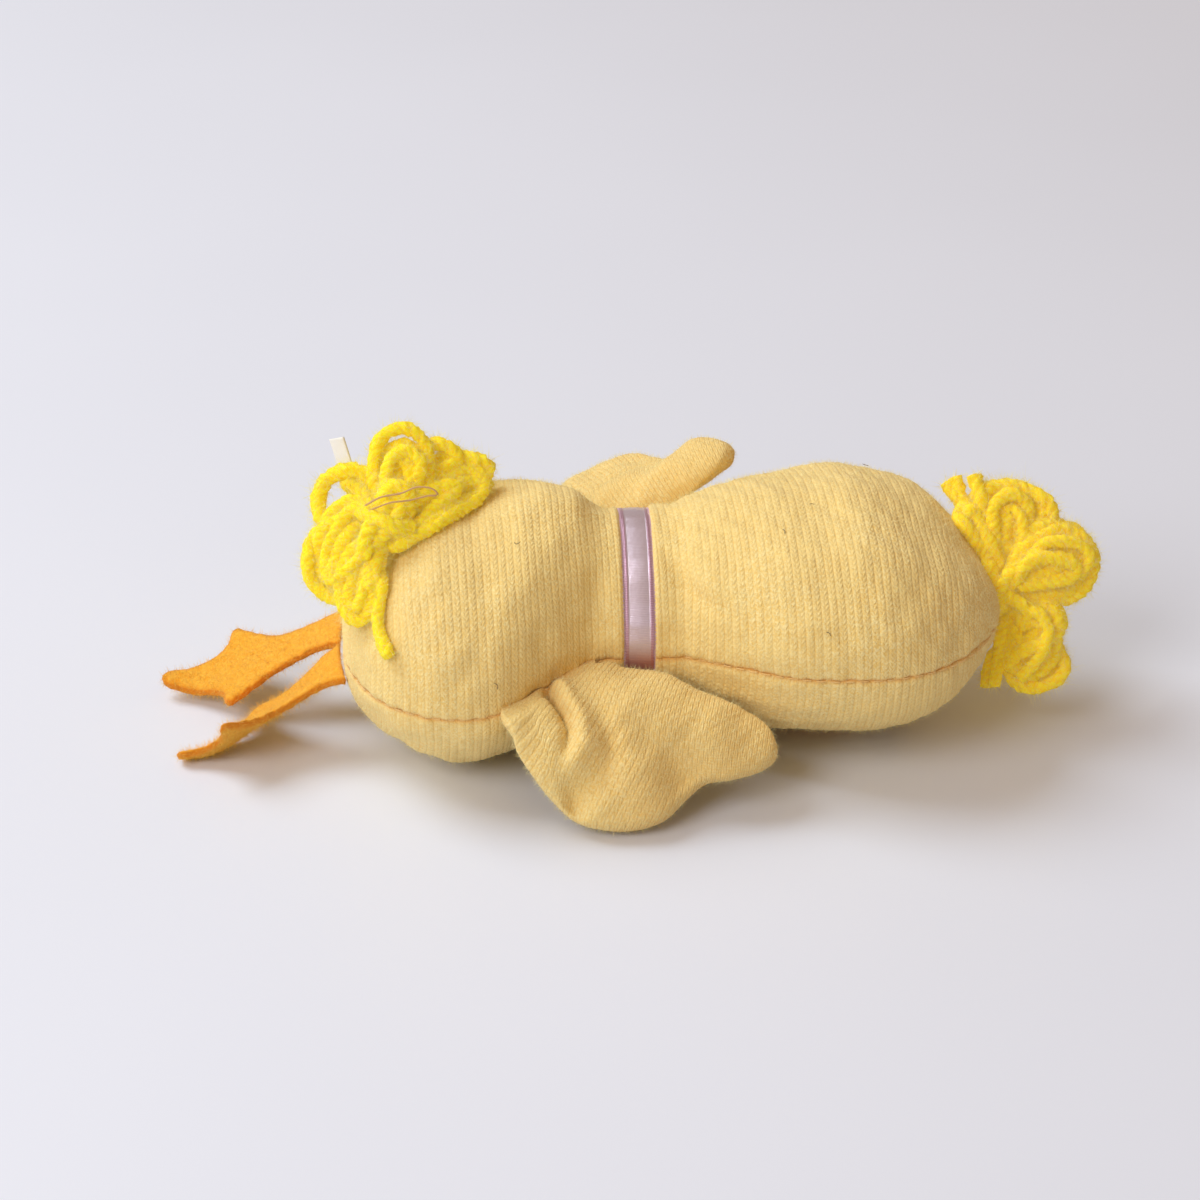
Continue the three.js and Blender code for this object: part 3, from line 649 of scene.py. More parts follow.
round_thread = put(thread_tree, "GeometryNodeCurvePrimitiveCircle", {
    "Resolution": 5, "Radius": calc(thread_tree, "MULTIPLY", given["Thickness"], 0.5)}).outputs[0]
thread = put(thread_tree, "GeometryNodeCurveToMesh", {
    "Curve": arc, "Profile Curve": round_thread, "Fill Caps": True}).outputs[0]
lengthwise = put(
    thread_tree, "FunctionNodeAlignRotationToVector", {"Vector": spots["Tangent"]}, axis="X").outputs[0]
faced = put(
    thread_tree, "FunctionNodeAlignRotationToVector", {"Rotation": lengthwise, "Vector": given["Out"]},
    axis="Y", pivot_axis="X").outputs[0]
sewn = put(thread_tree, "GeometryNodeInstanceOnPoints", {
    "Points": spots["Points"], "Instance": thread, "Rotation": faced}).outputs[0]
thread_mesh = put(thread_tree, "GeometryNodeRealizeInstances", {0: sewn}).outputs[0]
put_out(thread_tree, thread_mesh, given["Material"], made["Geometry"])


def fibre_material(name, colour, sheen, bloom=0.0):
    """Single fibres, each lighter or darker than the next, the palest with a share of white."""
    material, tree, shader = new_material(name, Roughness=0.8, Sheen_Weight=sheen, Specular_IOR_Level=0.2)
    island = put(tree, "ShaderNodeNewGeometry").outputs["Random Per Island"]
    pale = tuple(mix(min(1, c * 1.25), 1, bloom) for c in colour[:3]) + (1,)
    dark = tuple(c * 0.8 for c in colour[:3]) + (1,)
    tree.links.new(blended(tree, island, dark, pale), shader.inputs["Base Color"])
    return material


knit_fibre = fibre_material("knit_fibre", tint(252, 232, 176), 0.3)


def fuzzed(name, host, material, seed, density, length, thickness, segments=1):
    """Loose fibres that stand off a piece: how many on a square metre, and their size in millimetres."""
    return grown(name, host, nap_tree, Density=density, Length=length * MM, Thickness=thickness * MM,
                 Lean=1.3, Segments=segments, Seed=seed, Material=material)


KNIT_FIBRE_LENGTH, KNIT_FIBRE_THICKNESS = 0.44, 0.014
neck_axis = NECK_HEIGHT * MM
BODY_BEND = ((13.0 * MM, 0, neck_axis), (16.6 * MM, 0, neck_axis))
HEAD_BEND = ((19.4 * MM, 0, neck_axis), (23.0 * MM, 0, neck_axis))
for panel, node, bodies, bend, seed, density in (
    (body_back, "body_back_panel", ("torso", "neck"), BODY_BEND, 1, 1.3e7),
    (body_front, "body_front_panel", ("torso", "neck"), BODY_BEND, 2, 7e6),
    (head_back, "head_back_panel", ("neck", "head"), HEAD_BEND, 3, 1.3e7),
    (head_front, "head_front_panel", ("neck", "head"), HEAD_BEND, 4, 7e6),
):
    fuzz = fuzzed(node.replace("panel", "nap"), panel, knit_fibre, seed, density,
                  KNIT_FIBRE_LENGTH, KNIT_FIBRE_THICKNESS)
    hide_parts(node)
    for piece in (panel, fuzz):
        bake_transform(piece)


# Side seams
# Each seam is sewn by machine on the wrong side before the skin is turned. What shows is the line where the
# two edges roll in, with a thread of the same colour that surfaces in the bottom of it.
seam_thread = flecked(
    "seam_thread", object_place, 4000, tint(238, 192, 114), tint(248, 212, 140),
    Roughness=0.6, Sheen_Weight=0.2)


def thread_row(name, points, material, spacing, length, rise, thickness, out, closed=False):
    """Short threads along a line through points, in millimetres."""
    mesh = bpy.data.meshes.new(name + "_line")
    edges = [(k, k + 1) for k in range(len(points) - 1)]
    if closed:
        edges.append((len(points) - 1, 0))
    mesh.from_pydata(np.asarray(points) * MM, edges, [])
    guide = in_scene(name + "_line", mesh)
    row = grown(name, guide, thread_tree, Spacing=spacing * MM, Length=length * MM, Rise=rise * MM,
                Thickness=thickness * MM, Out=out, Material=material)
    bpy.data.objects.remove(guide)
    return row


SEAM_STITCH, SEAM_SPACING, SEAM_RISE, SEAM_THREAD = 0.9, 1.45, 0.05, 0.16
for part, start, end, bodies, bend in (
    ("body", -RUMP_LENGTH + 0.4, NECK_X - 2.6, ("torso", "neck"), BODY_BEND),
    ("head", NECK_X + 2.6, HEAD_X + CROWN_LENGTH - 0.3, ("neck", "head"), HEAD_BEND),
):
    for side_name, side in (("left", 1), ("right", -1)):
        x = mix(start, end, (1 - np.cos(np.linspace(0, np.pi, 120))) / 2)
        width, _, _, seam_height = section(x)
        seam_line = np.stack([x, side * (width - SEAM_DEPTH + 0.02), seam_height], -1)
        row = thread_row(f"{part}_seam_{side_name}", seam_line, seam_thread,
                         SEAM_SPACING, SEAM_STITCH, SEAM_RISE, SEAM_THREAD, (0, side, 0))
        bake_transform(row)


# Gathered neck
# Between body and head the same skin is drawn into small pleats by the tie. The ribbon covers the tie, and
# the pleats run out from under both of its edges.
PLEATS, PLEAT_DEPTH, PLEAT_SINK = 30, 0.12, 0.1
RIBBON_WIDTH, RIBBON_THICKNESS = 3.0, 0.35


def ring_piece(name, profile, material, steps, wobble, weave_scale=1.0):
    """Band round the neck from a closed profile of (x, radius), with waves round it."""
    profile = np.asarray(profile + profile[:1])
    turn = np.linspace(0, 2 * np.pi, steps + 1)
    angle, index = np.meshgrid(turn, np.arange(len(profile)), indexing="ij")
    x, radius = profile[index, 0], profile[index, 1] + wobble * np.sin(PLEATS * angle)
    points = neck_ring(NECK_X + x, radius, angle)
    weave = np.stack([x, angle * NECK_RADIUS], -1) * weave_scale
    return make_piece(name, points.reshape(-1, 3), grid_triangles(*x.shape), material, weave.reshape(-1, 2))


gather_half = neck_end - 0.05
gather_radius = NECK_TUCK - PLEAT_SINK
gather_profile = (
    [(x, gather_radius + 0.06 * math.cos(3 * x)) for x in np.linspace(-gather_half, gather_half, 12)]
    + [(x, gather_radius - CLOTH) for x in np.linspace(gather_half, -gather_half, 6)]
)
gather = ring_piece("gathered_neck", gather_profile, knit, 360, PLEAT_DEPTH, 1 / WALE)
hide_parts("neck_gather")
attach(gather, "neck")
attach(gather, "neck")


# Filling
# White polyester fibre is teased out and pushed in by hand through a gap in the seam. It packs into lumps
# that press against the cloth, in the body, in the head and as a plug in the neck.
FILLING_GAP = 0.3
PLUG_HALF = 4.5  # half length of the plug in the neck, with half the gap at each of its ends
stuffing, stuffing_tree, stuffing_shader = new_material(
    "polyester_fibre", Roughness=0.9, Sheen_Weight=0.4, Specular_IOR_Level=0.2)
fluff = mottled(stuffing_tree, tint(250, 249, 245), tint(242, 240, 234), tint(214, 210, 200), 900.0)
covered(stuffing_tree, stuffing_shader, fluff["Color"], fluff["Height"], 0.8, 0.3 * MM)


def filling(name, node, start, end, lumps):
    """Lumpy closed body that fills the skin from start to end."""
    x = mix(start, end, (1 - np.cos(np.linspace(0, np.pi, 60))) / 2)
    grid_x, angle = np.meshgrid(x, np.linspace(0, 2 * np.pi, 97), indexing="ij")
    points = skin(grid_x, angle, CLOTH + FILLING_GAP + lumps)
    for row in (0, -1):
        points[row] = points[row].mean(0)
    bulge = 0.5 * lumps * waves(points, 5, 71)
    points[1:-1] += (grid_normals(points, core(grid_x)) * bulge[..., None])[1:-1]
    points[..., 2] = np.maximum(points[..., 2], CLOTH + FILLING_GAP)
    piece = make_piece(name, points.reshape(-1, 3), grid_triangles(*grid_x.shape), stuffing)
    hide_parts(node)
    return piece


body_fibre = filling("body_fibre", "body_filling", -RUMP_LENGTH + 1.6, NECK_X - PLUG_HALF - 0.5, 0.4)
neck_fibre = filling("neck_fibre", "neck_filling", NECK_X - PLUG_HALF + 0.4, NECK_X + PLUG_HALF - 0.4, 0.5)
head_fibre = filling("head_fibre", "head_filling", NECK_X + PLUG_HALF + 0.5, HEAD_X + CROWN_LENGTH - 1.6, 0.4)
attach(body_fibre, "torso")
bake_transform(neck_fibre)
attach(head_fibre, "head")


# Ribbon
# Lilac satin 3 mm wide goes once round the gathered neck and is knotted at the throat. Its face is smooth
# and shiny across the width, and each edge is woven firm, with a row of tiny loops along it.
RIBBON_INNER = 10.554
SELVEDGE = 0.42
WEFT_APART, WARP_APART = 0.16, 0.12


def threads(tree, along, apart):
    """Rise and fall from thread to thread of a cloth, between -1 and 1."""
    return calc(tree, "SINE", calc(tree, "MULTIPLY", along, 2 * math.pi / apart))


satin, satin_tree, satin_shader = new_material(
    "lilac_satin", Roughness=0.3, Metallic=0.7, Specular_IOR_Level=0.6, Coat_Weight=0.35, Coat_Roughness=0.25)
satin_weave = weave_place(satin_tree)
across_satin, along_satin, _ = parts_of(satin_tree, satin_weave)
from_edge = calc(satin_tree, "SUBTRACT", RIBBON_WIDTH / 2, calc(satin_tree, "ABSOLUTE", across_satin))
on_edge = ranged(satin_tree, from_edge, SELVEDGE, SELVEDGE * 0.7)
weft = threads(satin_tree, along_satin, WEFT_APART)
warp = threads(satin_tree, across_satin, WARP_APART)
satin_cloud = noise(satin_tree, satin_weave, 3.0, Detail=3)
satin_face = blended(satin_tree, satin_cloud, tint(220, 202, 216), tint(236, 222, 234))
# the mauve edges get painted shade where the weft threads dip
satin_ribs = blended(satin_tree, ranged(satin_tree, weft, -1, 1), tint(190, 140, 166), tint(222, 190, 208))
satin_top = blended(satin_tree, on_edge, satin_face, satin_ribs)
# the lower part of the right side is painted red-brown: a painted reflection of the wing below it, and
# painted shade
satin_at = parts_of(satin_tree, object_place(satin_tree))
satin_painted_reflection = ranged(satin_tree, satin_at[2], 14.6 * MM, 11.8 * MM, 0.0, 0.85)
satin_painted_reflection = calc(satin_tree, "MULTIPLY", satin_painted_reflection, ranged(satin_tree, satin_at[1], -4.0 * MM, -8.0 * MM))
satin_height = calc(satin_tree, "MULTIPLY_ADD", warp, 0.25, calc(satin_tree, "MULTIPLY", weft, 0.5))
covered(
    satin_tree, satin_shader, blended(satin_tree, satin_painted_reflection, satin_top, tint(204, 128, 118)),
    satin_height, 0.5, 0.04 * MM)

edge_half = RIBBON_WIDTH / 2
ribbon_outer = RIBBON_INNER + RIBBON_THICKNESS
ribbon_x = np.linspace(-edge_half, edge_half, 41)
ribbon_face = RIBBON_INNER + 0.3 - 0.1 * (ribbon_x / edge_half) ** 2
ribbon_face += 0.05 * smooth((SELVEDGE - edge_half + np.abs(ribbon_x)) / 0.1)
ribbon_profile = list(zip(ribbon_x, ribbon_face))
ribbon_profile += [(x, RIBBON_INNER + 0.1) for x in np.linspace(edge_half - 0.05, -edge_half + 0.05, 9)]
ribbon = ring_piece("ribbon", ribbon_profile, satin, 240, 0.02)
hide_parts("neck_ribbon")
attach(ribbon, "neck")

PICOT_SPACING, PICOT_LENGTH, PICOT_RISE, PICOT_THREAD = 0.42, 0.3, 0.22, 0.11
picot_thread = flecked(
    "picot_thread", object_place, 2500, tint(206, 160, 184), tint(232, 204, 220),
    Roughness=0.45, Sheen_Weight=0.3)
for edge_name, direction in (("tail", -1), ("crown", 1)):
    turn = np.linspace(0, 2 * np.pi, 240, endpoint=False)
    edge_line = neck_ring(NECK_X + direction * (edge_half - 0.03), RIBBON_INNER + 0.22, turn)
    picots = thread_row(f"ribbon_picots_{edge_name}", edge_line, picot_thread,
                        PICOT_SPACING, PICOT_LENGTH, PICOT_RISE, PICOT_THREAD, (direction, 0, 0), closed=True)
    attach(picots, "neck")

# The knot: the band wrapped over itself, and two short ends that fall to the floor
KNOT_SIZE = (3.6, 4.6, 2.2)
KNOT_TURN = math.radians(62)
RIBBON_END = 9.0
RIBBON_GAP = 0.3
knot_radius = ribbon_outer + RIBBON_GAP + KNOT_SIZE[2] / 2
knot_at = np.array([
    NECK_X, knot_radius * math.sin(KNOT_TURN), NECK_HEIGHT - knot_radius * math.cos(KNOT_TURN)])


def ball(turns, rises):
    """Points of a ball of radius 1, with their turn and their rise."""
    turn, rise = np.meshgrid(
        np.linspace(0, 2 * np.pi, turns), np.linspace(-np.pi / 2, np.pi / 2, rises), indexing="ij")
    return np.stack([np.cos(rise) * np.cos(turn), np.cos(rise) * np.sin(turn), np.sin(rise)], -1), turn, rise


def swung(points, angle, first, second):
    """Points turned by an angle from one axis towards another."""
    points = points.copy()
    a, b = points[..., first].copy(), points[..., second].copy()
    points[..., first] = a * math.cos(angle) - b * math.sin(angle)
    points[..., second] = a * math.sin(angle) + b * math.cos(angle)
    return points


def between_sheets(top, bottom):
    """Points and triangles of what lies between two grids, closed round their rims."""
    rows, columns = top.shape[:2]
    points, faces = joined([
        (top.reshape(-1, 3), grid_triangles(rows, columns)),
        (bottom.reshape(-1, 3), grid_triangles(rows, columns)[:, ::-1]),
    ])
    rim = np.append(grid_rim(rows, columns), 0)
    under = rim + rows * columns
    wall = [np.stack([rim[1:], rim[:-1], under[:-1]], 1), np.stack([rim[1:], under[:-1], under[1:]], 1)]
    return points, np.concatenate([faces, *wall])


def knot_ball():
    """The knot, with the folds that cross it."""
    points, turn, rise = ball(97, 49)
    x, y, z = np.moveaxis(points, -1, 0)
    fold = 1 - 0.07 * np.abs(np.sin(2.5 * np.arctan2(z, x + 1e-9) + 3 * y)) - 0.05 * (np.abs(y) > 0.82)
    points = swung(points * np.array(KNOT_SIZE) / 2 * fold[..., None], KNOT_TURN, 1, 2) + knot_at
    weave = np.stack([0.8 * np.sin(2 * turn), 3 * rise], -1)
    return points.reshape(-1, 3), grid_triangles(*turn.shape), weave.reshape(-1, 2)


def ribbon_end(side):
    """One end of the ribbon: a thin strip that curves over and down, cut on the slant."""
    fall = knot_at[2] - RIBBON_GAP - RIBBON_THICKNESS
    reach = math.sqrt(max(KNOT_SIZE[2] ** 2, RIBBON_END ** 2 - fall ** 2))
    t, across = np.meshgrid(np.linspace(0.05, 1, 49), np.linspace(-1, 1, 17), indexing="ij")
    t = t * (1 - 0.06 * (1 + side * across) * (t > 0.9))
    lean = np.pi / 2 * t
    curl = 0.15 * np.sin(3 * lean) * across ** 2
    layers = []
    for up in (0.5, -0.5):
        offset = up * (RIBBON_THICKNESS - 0.1) + curl
        layers.append(np.stack([
            knot_at[0] + side * RIBBON_WIDTH * t + across * RIBBON_WIDTH / 2 * (0.6 + 0.4 * smooth(t / 0.3)),
            knot_at[1] + reach * t ** 1.6 + offset * np.cos(lean),
            knot_at[2] - fall * np.sin(lean) + offset * np.sin(lean),
        ], -1))
    weave = np.stack([across * RIBBON_WIDTH / 2, t * RIBBON_END], -1).reshape(-1, 2)
    return *between_sheets(*layers), np.concatenate([weave, weave])


for name, (points, faces, weave) in (
    ("knot", knot_ball()), ("knot_left_end", ribbon_end(1)), ("knot_right_end", ribbon_end(-1)),
):
    piece = make_piece(name, points, faces, satin, weave)
    if name == "knot":
        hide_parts("ribbon_knot")
    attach(piece, "neck")


# Eyes
# Two black domed beads of moulded plastic, each sewn to the face through a loop at its back, so that it
# sinks a little way into the cloth.
EYE_RADIUS, EYE_SPACING, EYE_X = 1.4, 13.0, HEAD_X + 5.0
EYE_FLAT = 0.55  # share of the radius at which the back is cut off flat
bead, bead_tree, bead_shader = new_material(
    "black_bead", Roughness=0.12, Specular_IOR_Level=0.6, Coat_Weight=0.3)
bead_dust = noise(bead_tree, object_place(bead_tree), 1800, Detail=4)
dusty = ranged(bead_tree, bead_dust, 0.62, 0.8)
covered(bead_tree, bead_shader, blended(bead_tree, dusty, tint(22, 19, 18), tint(70, 62, 56)))
bead_tree.links.new(ranged(bead_tree, bead_dust, 0.4, 0.8, 0.1, 0.35), bead_shader.inputs["Roughness"])
eye_width, _, eye_drop, eye_seam = section(EYE_X)
eye_z = eye_seam - eye_drop * math.sqrt(1 - (EYE_SPACING / 2 / eye_width) ** 2)
for name, side in (("left_eye", 1), ("right_eye", -1)):
    points, turn, _ = ball(65, 41)
    points *= EYE_RADIUS
    points[..., 2] = np.minimum(points[..., 2], EYE_RADIUS * EYE_FLAT)
    points += (EYE_X, side * EYE_SPACING / 2, eye_z)
    piece = make_piece(name + "_bead", points.reshape(-1, 3), grid_triangles(*turn.shape), bead)
    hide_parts(name)
    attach(piece, "head")


# Bill
# Two half-round pieces of orange craft felt 1.2 mm thick are sewn on across the face, the upper one longer.
# The head rests on them, so they lie flat. Their cut edges, and a narrow band of each face beside them, get a
# deeper orange of painted shade.
FELT = 1.2
BILL_WIDTH, UPPER_BILL, LOWER_BILL = 9.0, 6.5, 5.0
BILL_X = HEAD_X - 2.5
BILL_GAP = 0.15
FELT_GRAIN = 0.42    # apart of the points inside the outline
FELT_SKIN = 0.06     # how far the faces lie inside the thickness
EDGE_LEVELS = (0.45, 0.0, -0.45)
FLOOR_CLEAR = 0.02
felt, felt_tree, felt_shader = new_material(
    "orange_felt", Roughness=0.95, Specular_IOR_Level=0.15,
    Sheen_Weight=0.5, Sheen_Roughness=0.5, Sheen_Tint=tint(255, 210, 130))
matted = mottled(felt_tree, tint(255, 206, 84), tint(250, 186, 56), tint(240, 160, 36), 1900.0)
# painted shade on the cut edges, fading onto the faces beside them
cut_edge = put(felt_tree, "ShaderNodeAttribute", attribute_name="cut").outputs["Fac"]
felt_colour = blended(felt_tree, cut_edge, matted["Color"], tint(232, 140, 34))
covered(felt_tree, felt_shader, felt_colour, matted["Height"], 0.9, 0.22 * MM)
felt_fibre = fibre_material("felt_fibre", tint(252, 196, 84), 0.3)


def from_outline(places, outline):
    """How far flat places lie from the nearest edge of an outline."""
    nearest = np.full(len(places), np.inf)
    for a, b in zip(outline, np.roll(outline, -1, 0)):
        share = np.clip(((places - a) @ (b - a)) / ((b - a) @ (b - a)), 0, 1)[:, None]
        nearest = np.minimum(nearest, np.linalg.norm(places - (a + share * (b - a)), axis=1))
    return nearest


def felt_piece(name, outline, place, seed):
    """Felt cut to a flat outline and set by place(along, across, up): top, bottom and a soft cut edge."""
    outline = np.asarray(outline)
    low, high = outline.min(0), outline.max(0)
    draw = np.random.default_rng(seed)
    grid = np.stack(np.meshgrid(
        np.arange(low[0], high[0], FELT_GRAIN), np.arange(low[1], high[1], FELT_GRAIN)), -1).reshape(-1, 2)
    grid = grid + draw.uniform(-0.12, 0.12, grid.shape)
    inner = grid[from_outline(grid, outline) > 0.6 * FELT_GRAIN]
    spots = [Vector(p) for p in np.concatenate([outline, inner])]
    border = [(k, (k + 1) % len(outline)) for k in range(len(outline))]
    flat, _, faces, _, _, _ = geometry.delaunay_2d_cdt(spots, border, [list(range(len(outline)))], 1, 1e-6)
    flat = np.array([tuple(p) for p in flat])
    faces = np.array([tuple(f) for f in faces])
    count = len(flat)
    to_edge = from_outline(flat, outline)
    half = FELT / 2 * (0.8 + 0.2 * smooth(to_edge / 0.6))
    level_spots = np.column_stack([flat, 0 * half])
    uneven = 0.05 * waves(level_spots, 1.1, seed) + 0.03 * waves(level_spots, 0.5, seed + 1)
    layers = [
        place(*flat.T, half - FELT_SKIN + uneven),
        place(*flat.T, -(half - FELT_SKIN + np.roll(uneven, 7))),
    ]
    edges = np.concatenate([faces[:, [0, 1]], faces[:, [1, 2]], faces[:, [2, 0]]])
    directed = {tuple(e) for e in edges}
    rim = np.array([e for e in edges if (e[1], e[0]) not in directed])
    run = flat[rim[:, 1]] - flat[rim[:, 0]]
    outward = np.zeros_like(flat)
    for k in (0, 1):
        np.add.at(outward, rim[:, k], np.stack([run[:, 1], -run[:, 0]], -1))
    outward /= np.maximum(np.linalg.norm(outward, axis=1, keepdims=True), 1e-9)
    for level in EDGE_LEVELS:
        bulge = outward * (0.1 * (1 - abs(level)) + 0.05 * draw.normal(size=(count, 1)))
        layers.append(place(*(flat + bulge).T, 1.1 * level * half))
    points = np.concatenate(layers)
    all_faces = [faces, faces[:, ::-1] + count]
    down_the_edge = [0, 2, 3, 4, 1]
    for upper, lower in zip(down_the_edge, down_the_edge[1:]):
        a, b = rim[:, 1] + upper * count, rim[:, 0] + upper * count
        c, d = rim[:, 0] + lower * count, rim[:, 1] + lower * count
        all_faces += [np.stack([a, b, c], 1), np.stack([a, c, d], 1)]
    all_faces = np.concatenate(all_faces)
    used = np.unique(all_faces)
    renumber = np.zeros(len(points), int)
    renumber[used] = np.arange(len(used))
    # share of painted shade: full on the edge, half on the faces at the rim, fading inwards
    cut = np.concatenate([0.5 * np.exp(-to_edge / 0.25)] * 2 + [np.ones(count)] * 3)[used]
    piece = make_piece(name, points[used], renumber[all_faces], felt, cut=cut, nap=0 * cut + 1)
    return piece, fuzzed(name + "_fuzz", piece, felt_fibre, seed, 3e7, 0.6, 0.014)


def half_round(length):
    """Outline of one bill half, from its sewn edge."""
    t = np.linspace(0, np.pi, 33)
    return np.stack([length * np.abs(np.sin(t)) ** 0.9, -BILL_WIDTH / 2 * np.cos(t)], -1)


for name, length, side in (("upper_bill", UPPER_BILL, 1), ("lower_bill", LOWER_BILL, -1)):
    pieces = felt_piece(
        name + "_felt", half_round(length),
        lambda along, across, up, side=side: np.stack([
            BILL_X + side * (BILL_GAP + along), side * across, np.maximum(up + FELT / 2, FLOOR_CLEAR)], -1),
        5 + side)
    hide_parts(name)
    for piece in pieces:
        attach(piece, name)


# Wings
# Each wing is two layers of the same jersey round a thin pad, sewn together and turned, then caught in the
# side seam behind the ribbon. The right one droops to the floor in soft folds and the left one stands up.
WING_BACK_X, WING_FRONT_X, WING_STANDOFF = 3.3, 13.5, 1.1
WING_PAD, WING_CROWN, WING_GAP = 1.0, 1.6, 0.15
WING_COLUMNS, WING_ROWS, FLANGE_ROWS, FLANGE_STEP = 161, 113, 9, 0.15
LEFT_WING_LIFT = math.radians(55)
# The edge from the back of the root round to its front: along, out, and share of the way down
WING_EDGE = np.array([
    (-5.95, 1.62, 0.255), (-5.9, 3.4, 0.49), (-5.3, 5.6, 0.735), (-4.1, 8.1, 0.94),
    (-1.5, 11.8, 1), (2.6, 13.9, 0.98), (6.3, 13.9, 0.88), (8.5, 14.1, 0.82),
    (11.2, 16.0, 0.8), (14, 17.4, 0.74), (15.9, 17.2, 0.68), (16.7, 15.6, 0.61),
    (15.8, 13.2, 0.52), (14.2, 10.6, 0.41), (12, 7.1, 0.28), (9.4, 4.3, 0.16),
])
RIB_SPACING, RIB_BOW, RIB_TOP = 0.56, 0.022, -5  # the ribs bow about this place along the wing


def curve_through(points, t):
    """Centripetal Catmull-Rom curve through points, at t from 0 to 1."""
    points = np.asarray(points, float)
    padded = np.concatenate([[2 * points[0] - points[1]], points, [2 * points[-1] - points[-2]]])
    place = np.clip(np.asarray(t, float), 0, 1) * (len(points) - 1)
    piece = np.minimum(place.astype(int), len(points) - 2)
    w = (place - piece)[..., None]
    a, b, c, d = (padded[piece + k] for k in range(4))
    ab, bc, cd = (np.linalg.norm(q - p, axis=-1, keepdims=True) ** 0.5 for p, q in ((a, b), (b, c), (c, d)))
    start = ((b - a) / ab - (c - a) / (ab + bc) + (c - b) / bc) * bc
    end = ((c - b) / bc - (d - b) / (bc + cd) + (d - c) / cd) * bc
    return (b + start * w + (3 * (c - b) - 2 * start - end) * w ** 2 + (2 * (b - c) + start + end) * w ** 3)


def seam_point(x, reach):
    """Point of the right side seam, that far out from the skin."""
    width, _, _, seam_height = section(x)
    return np.stack(np.broadcast_arrays(x, -width - reach, seam_height), -1)


root_back, root_front = seam_point(WING_BACK_X, WING_STANDOFF), seam_point(WING_FRONT_X, WING_STANDOFF)
root_half = np.linalg.norm(root_front - root_back) / 2
root_middle = (root_back + root_front) / 2
along_root = (root_front - root_back) / (2 * root_half)
out_of_root = np.array([along_root[1], -along_root[0], 0])
out_of_root /= np.linalg.norm(out_of_root)
up_from_root = np.cross(out_of_root, along_root)
wing_drop = root_middle[2] - 0.9
wing_rim = np.concatenate([[(-root_half, 0, 0)], WING_EDGE * (1, 1, -wing_drop), [(root_half, 0, 0)]])

# Valleys and rolls in each wing: their line as (along, out), half width, power of the fall from the line
# (1 is a sharp fold and 2 a soft one), and depth at both ends
RIGHT_FOLDS = [
    ([(-0.2, -0.6), (-0.6, 1.4), (-0.8, 2.9), (-1.3, 4.1), (-2.2, 4.9)], 0.5, 1.2, 2.8, 1.1),
    ([(0.9, 0.4), (0.6, 2.2), (0.3, 4.0), (-0.6, 5.7), (-2.0, 6.2)], 0.9, 2, -0.7, -0.5),
    ([(2.2, 5.0), (1.7, 6.6), (1.0, 7.8), (-0.4, 8.2), (-2.0, 7.9), (-3.4, 7.4)], 1.1, 1.8, 0.5, 1.7),
    ([(5.0, 9.4), (5.6, 11.3), (6.3, 13.4)], 1.7, 2, 0.4, 1.0),
]
LEFT_FOLDS = [
    ([(-1.0, 1.0), (0.0, 4.0), (1.0, 8.0)], 1.6, 2, 0.8, 0.4),
    ([(7.0, 4.0), (8.5, 9.0), (9.5, 13.5)], 1.2, 2, 0.4, 0.9),
]
RIM_DROP = 0.55       # how far the sewn rim sits below the middle of the wing
UNDER_SHARE = 0.55    # how much of a valley shows on the underside
EDGE_ROUND = 1.2      # how far in from the rim and from the root the wing thins
ROOT_SHARE = 0.55     # how thick it is at the root, as a share of the rest
LEAST_HALF = 0.03
FULL_HALF = 1.05      # from this half thickness on, a layer gets no thicker
LAYER_SHARE = 0.8     # of the half thickness
WING_FLOOR = 0.03
PAD_STEP = 3


def valleys(flat, folds):
    """Depth of all the valleys at flat places given as (along, out)."""
    total = np.zeros(flat.shape[:2])
    for line, half_width, sharpness, first, last in folds:
        line = np.array(line, float)
        nearest, share = np.full(total.shape, np.inf), np.zeros(total.shape)
        for k in range(len(line) - 1):
            run = line[k + 1] - line[k]
            t = np.clip(((flat - line[k]) @ run) / (run @ run), 0, 1)
            away = np.linalg.norm(flat - line[k] - t[..., None] * run, axis=-1)
            share = np.where(away < nearest, (k + t) / (len(line) - 1), share)
            nearest = np.minimum(nearest, away)
        total += mix(first, last, share) * np.exp(-((nearest / half_width) ** sharpness))
    return total


def softened(grid, rounds):
    """Grid of vectors, each drawn towards its neighbours, at unit length."""
    for _ in range(rounds):
        wide = np.pad(grid, ((1, 1), (1, 1), (0, 0)), mode="edge")
        grid = (wide[:-2, 1:-1] + wide[2:, 1:-1] + wide[1:-1, :-2] + wide[1:-1, 2:] + 4 * grid) / 8
    return grid / np.linalg.norm(grid, axis=-1, keepdims=True)


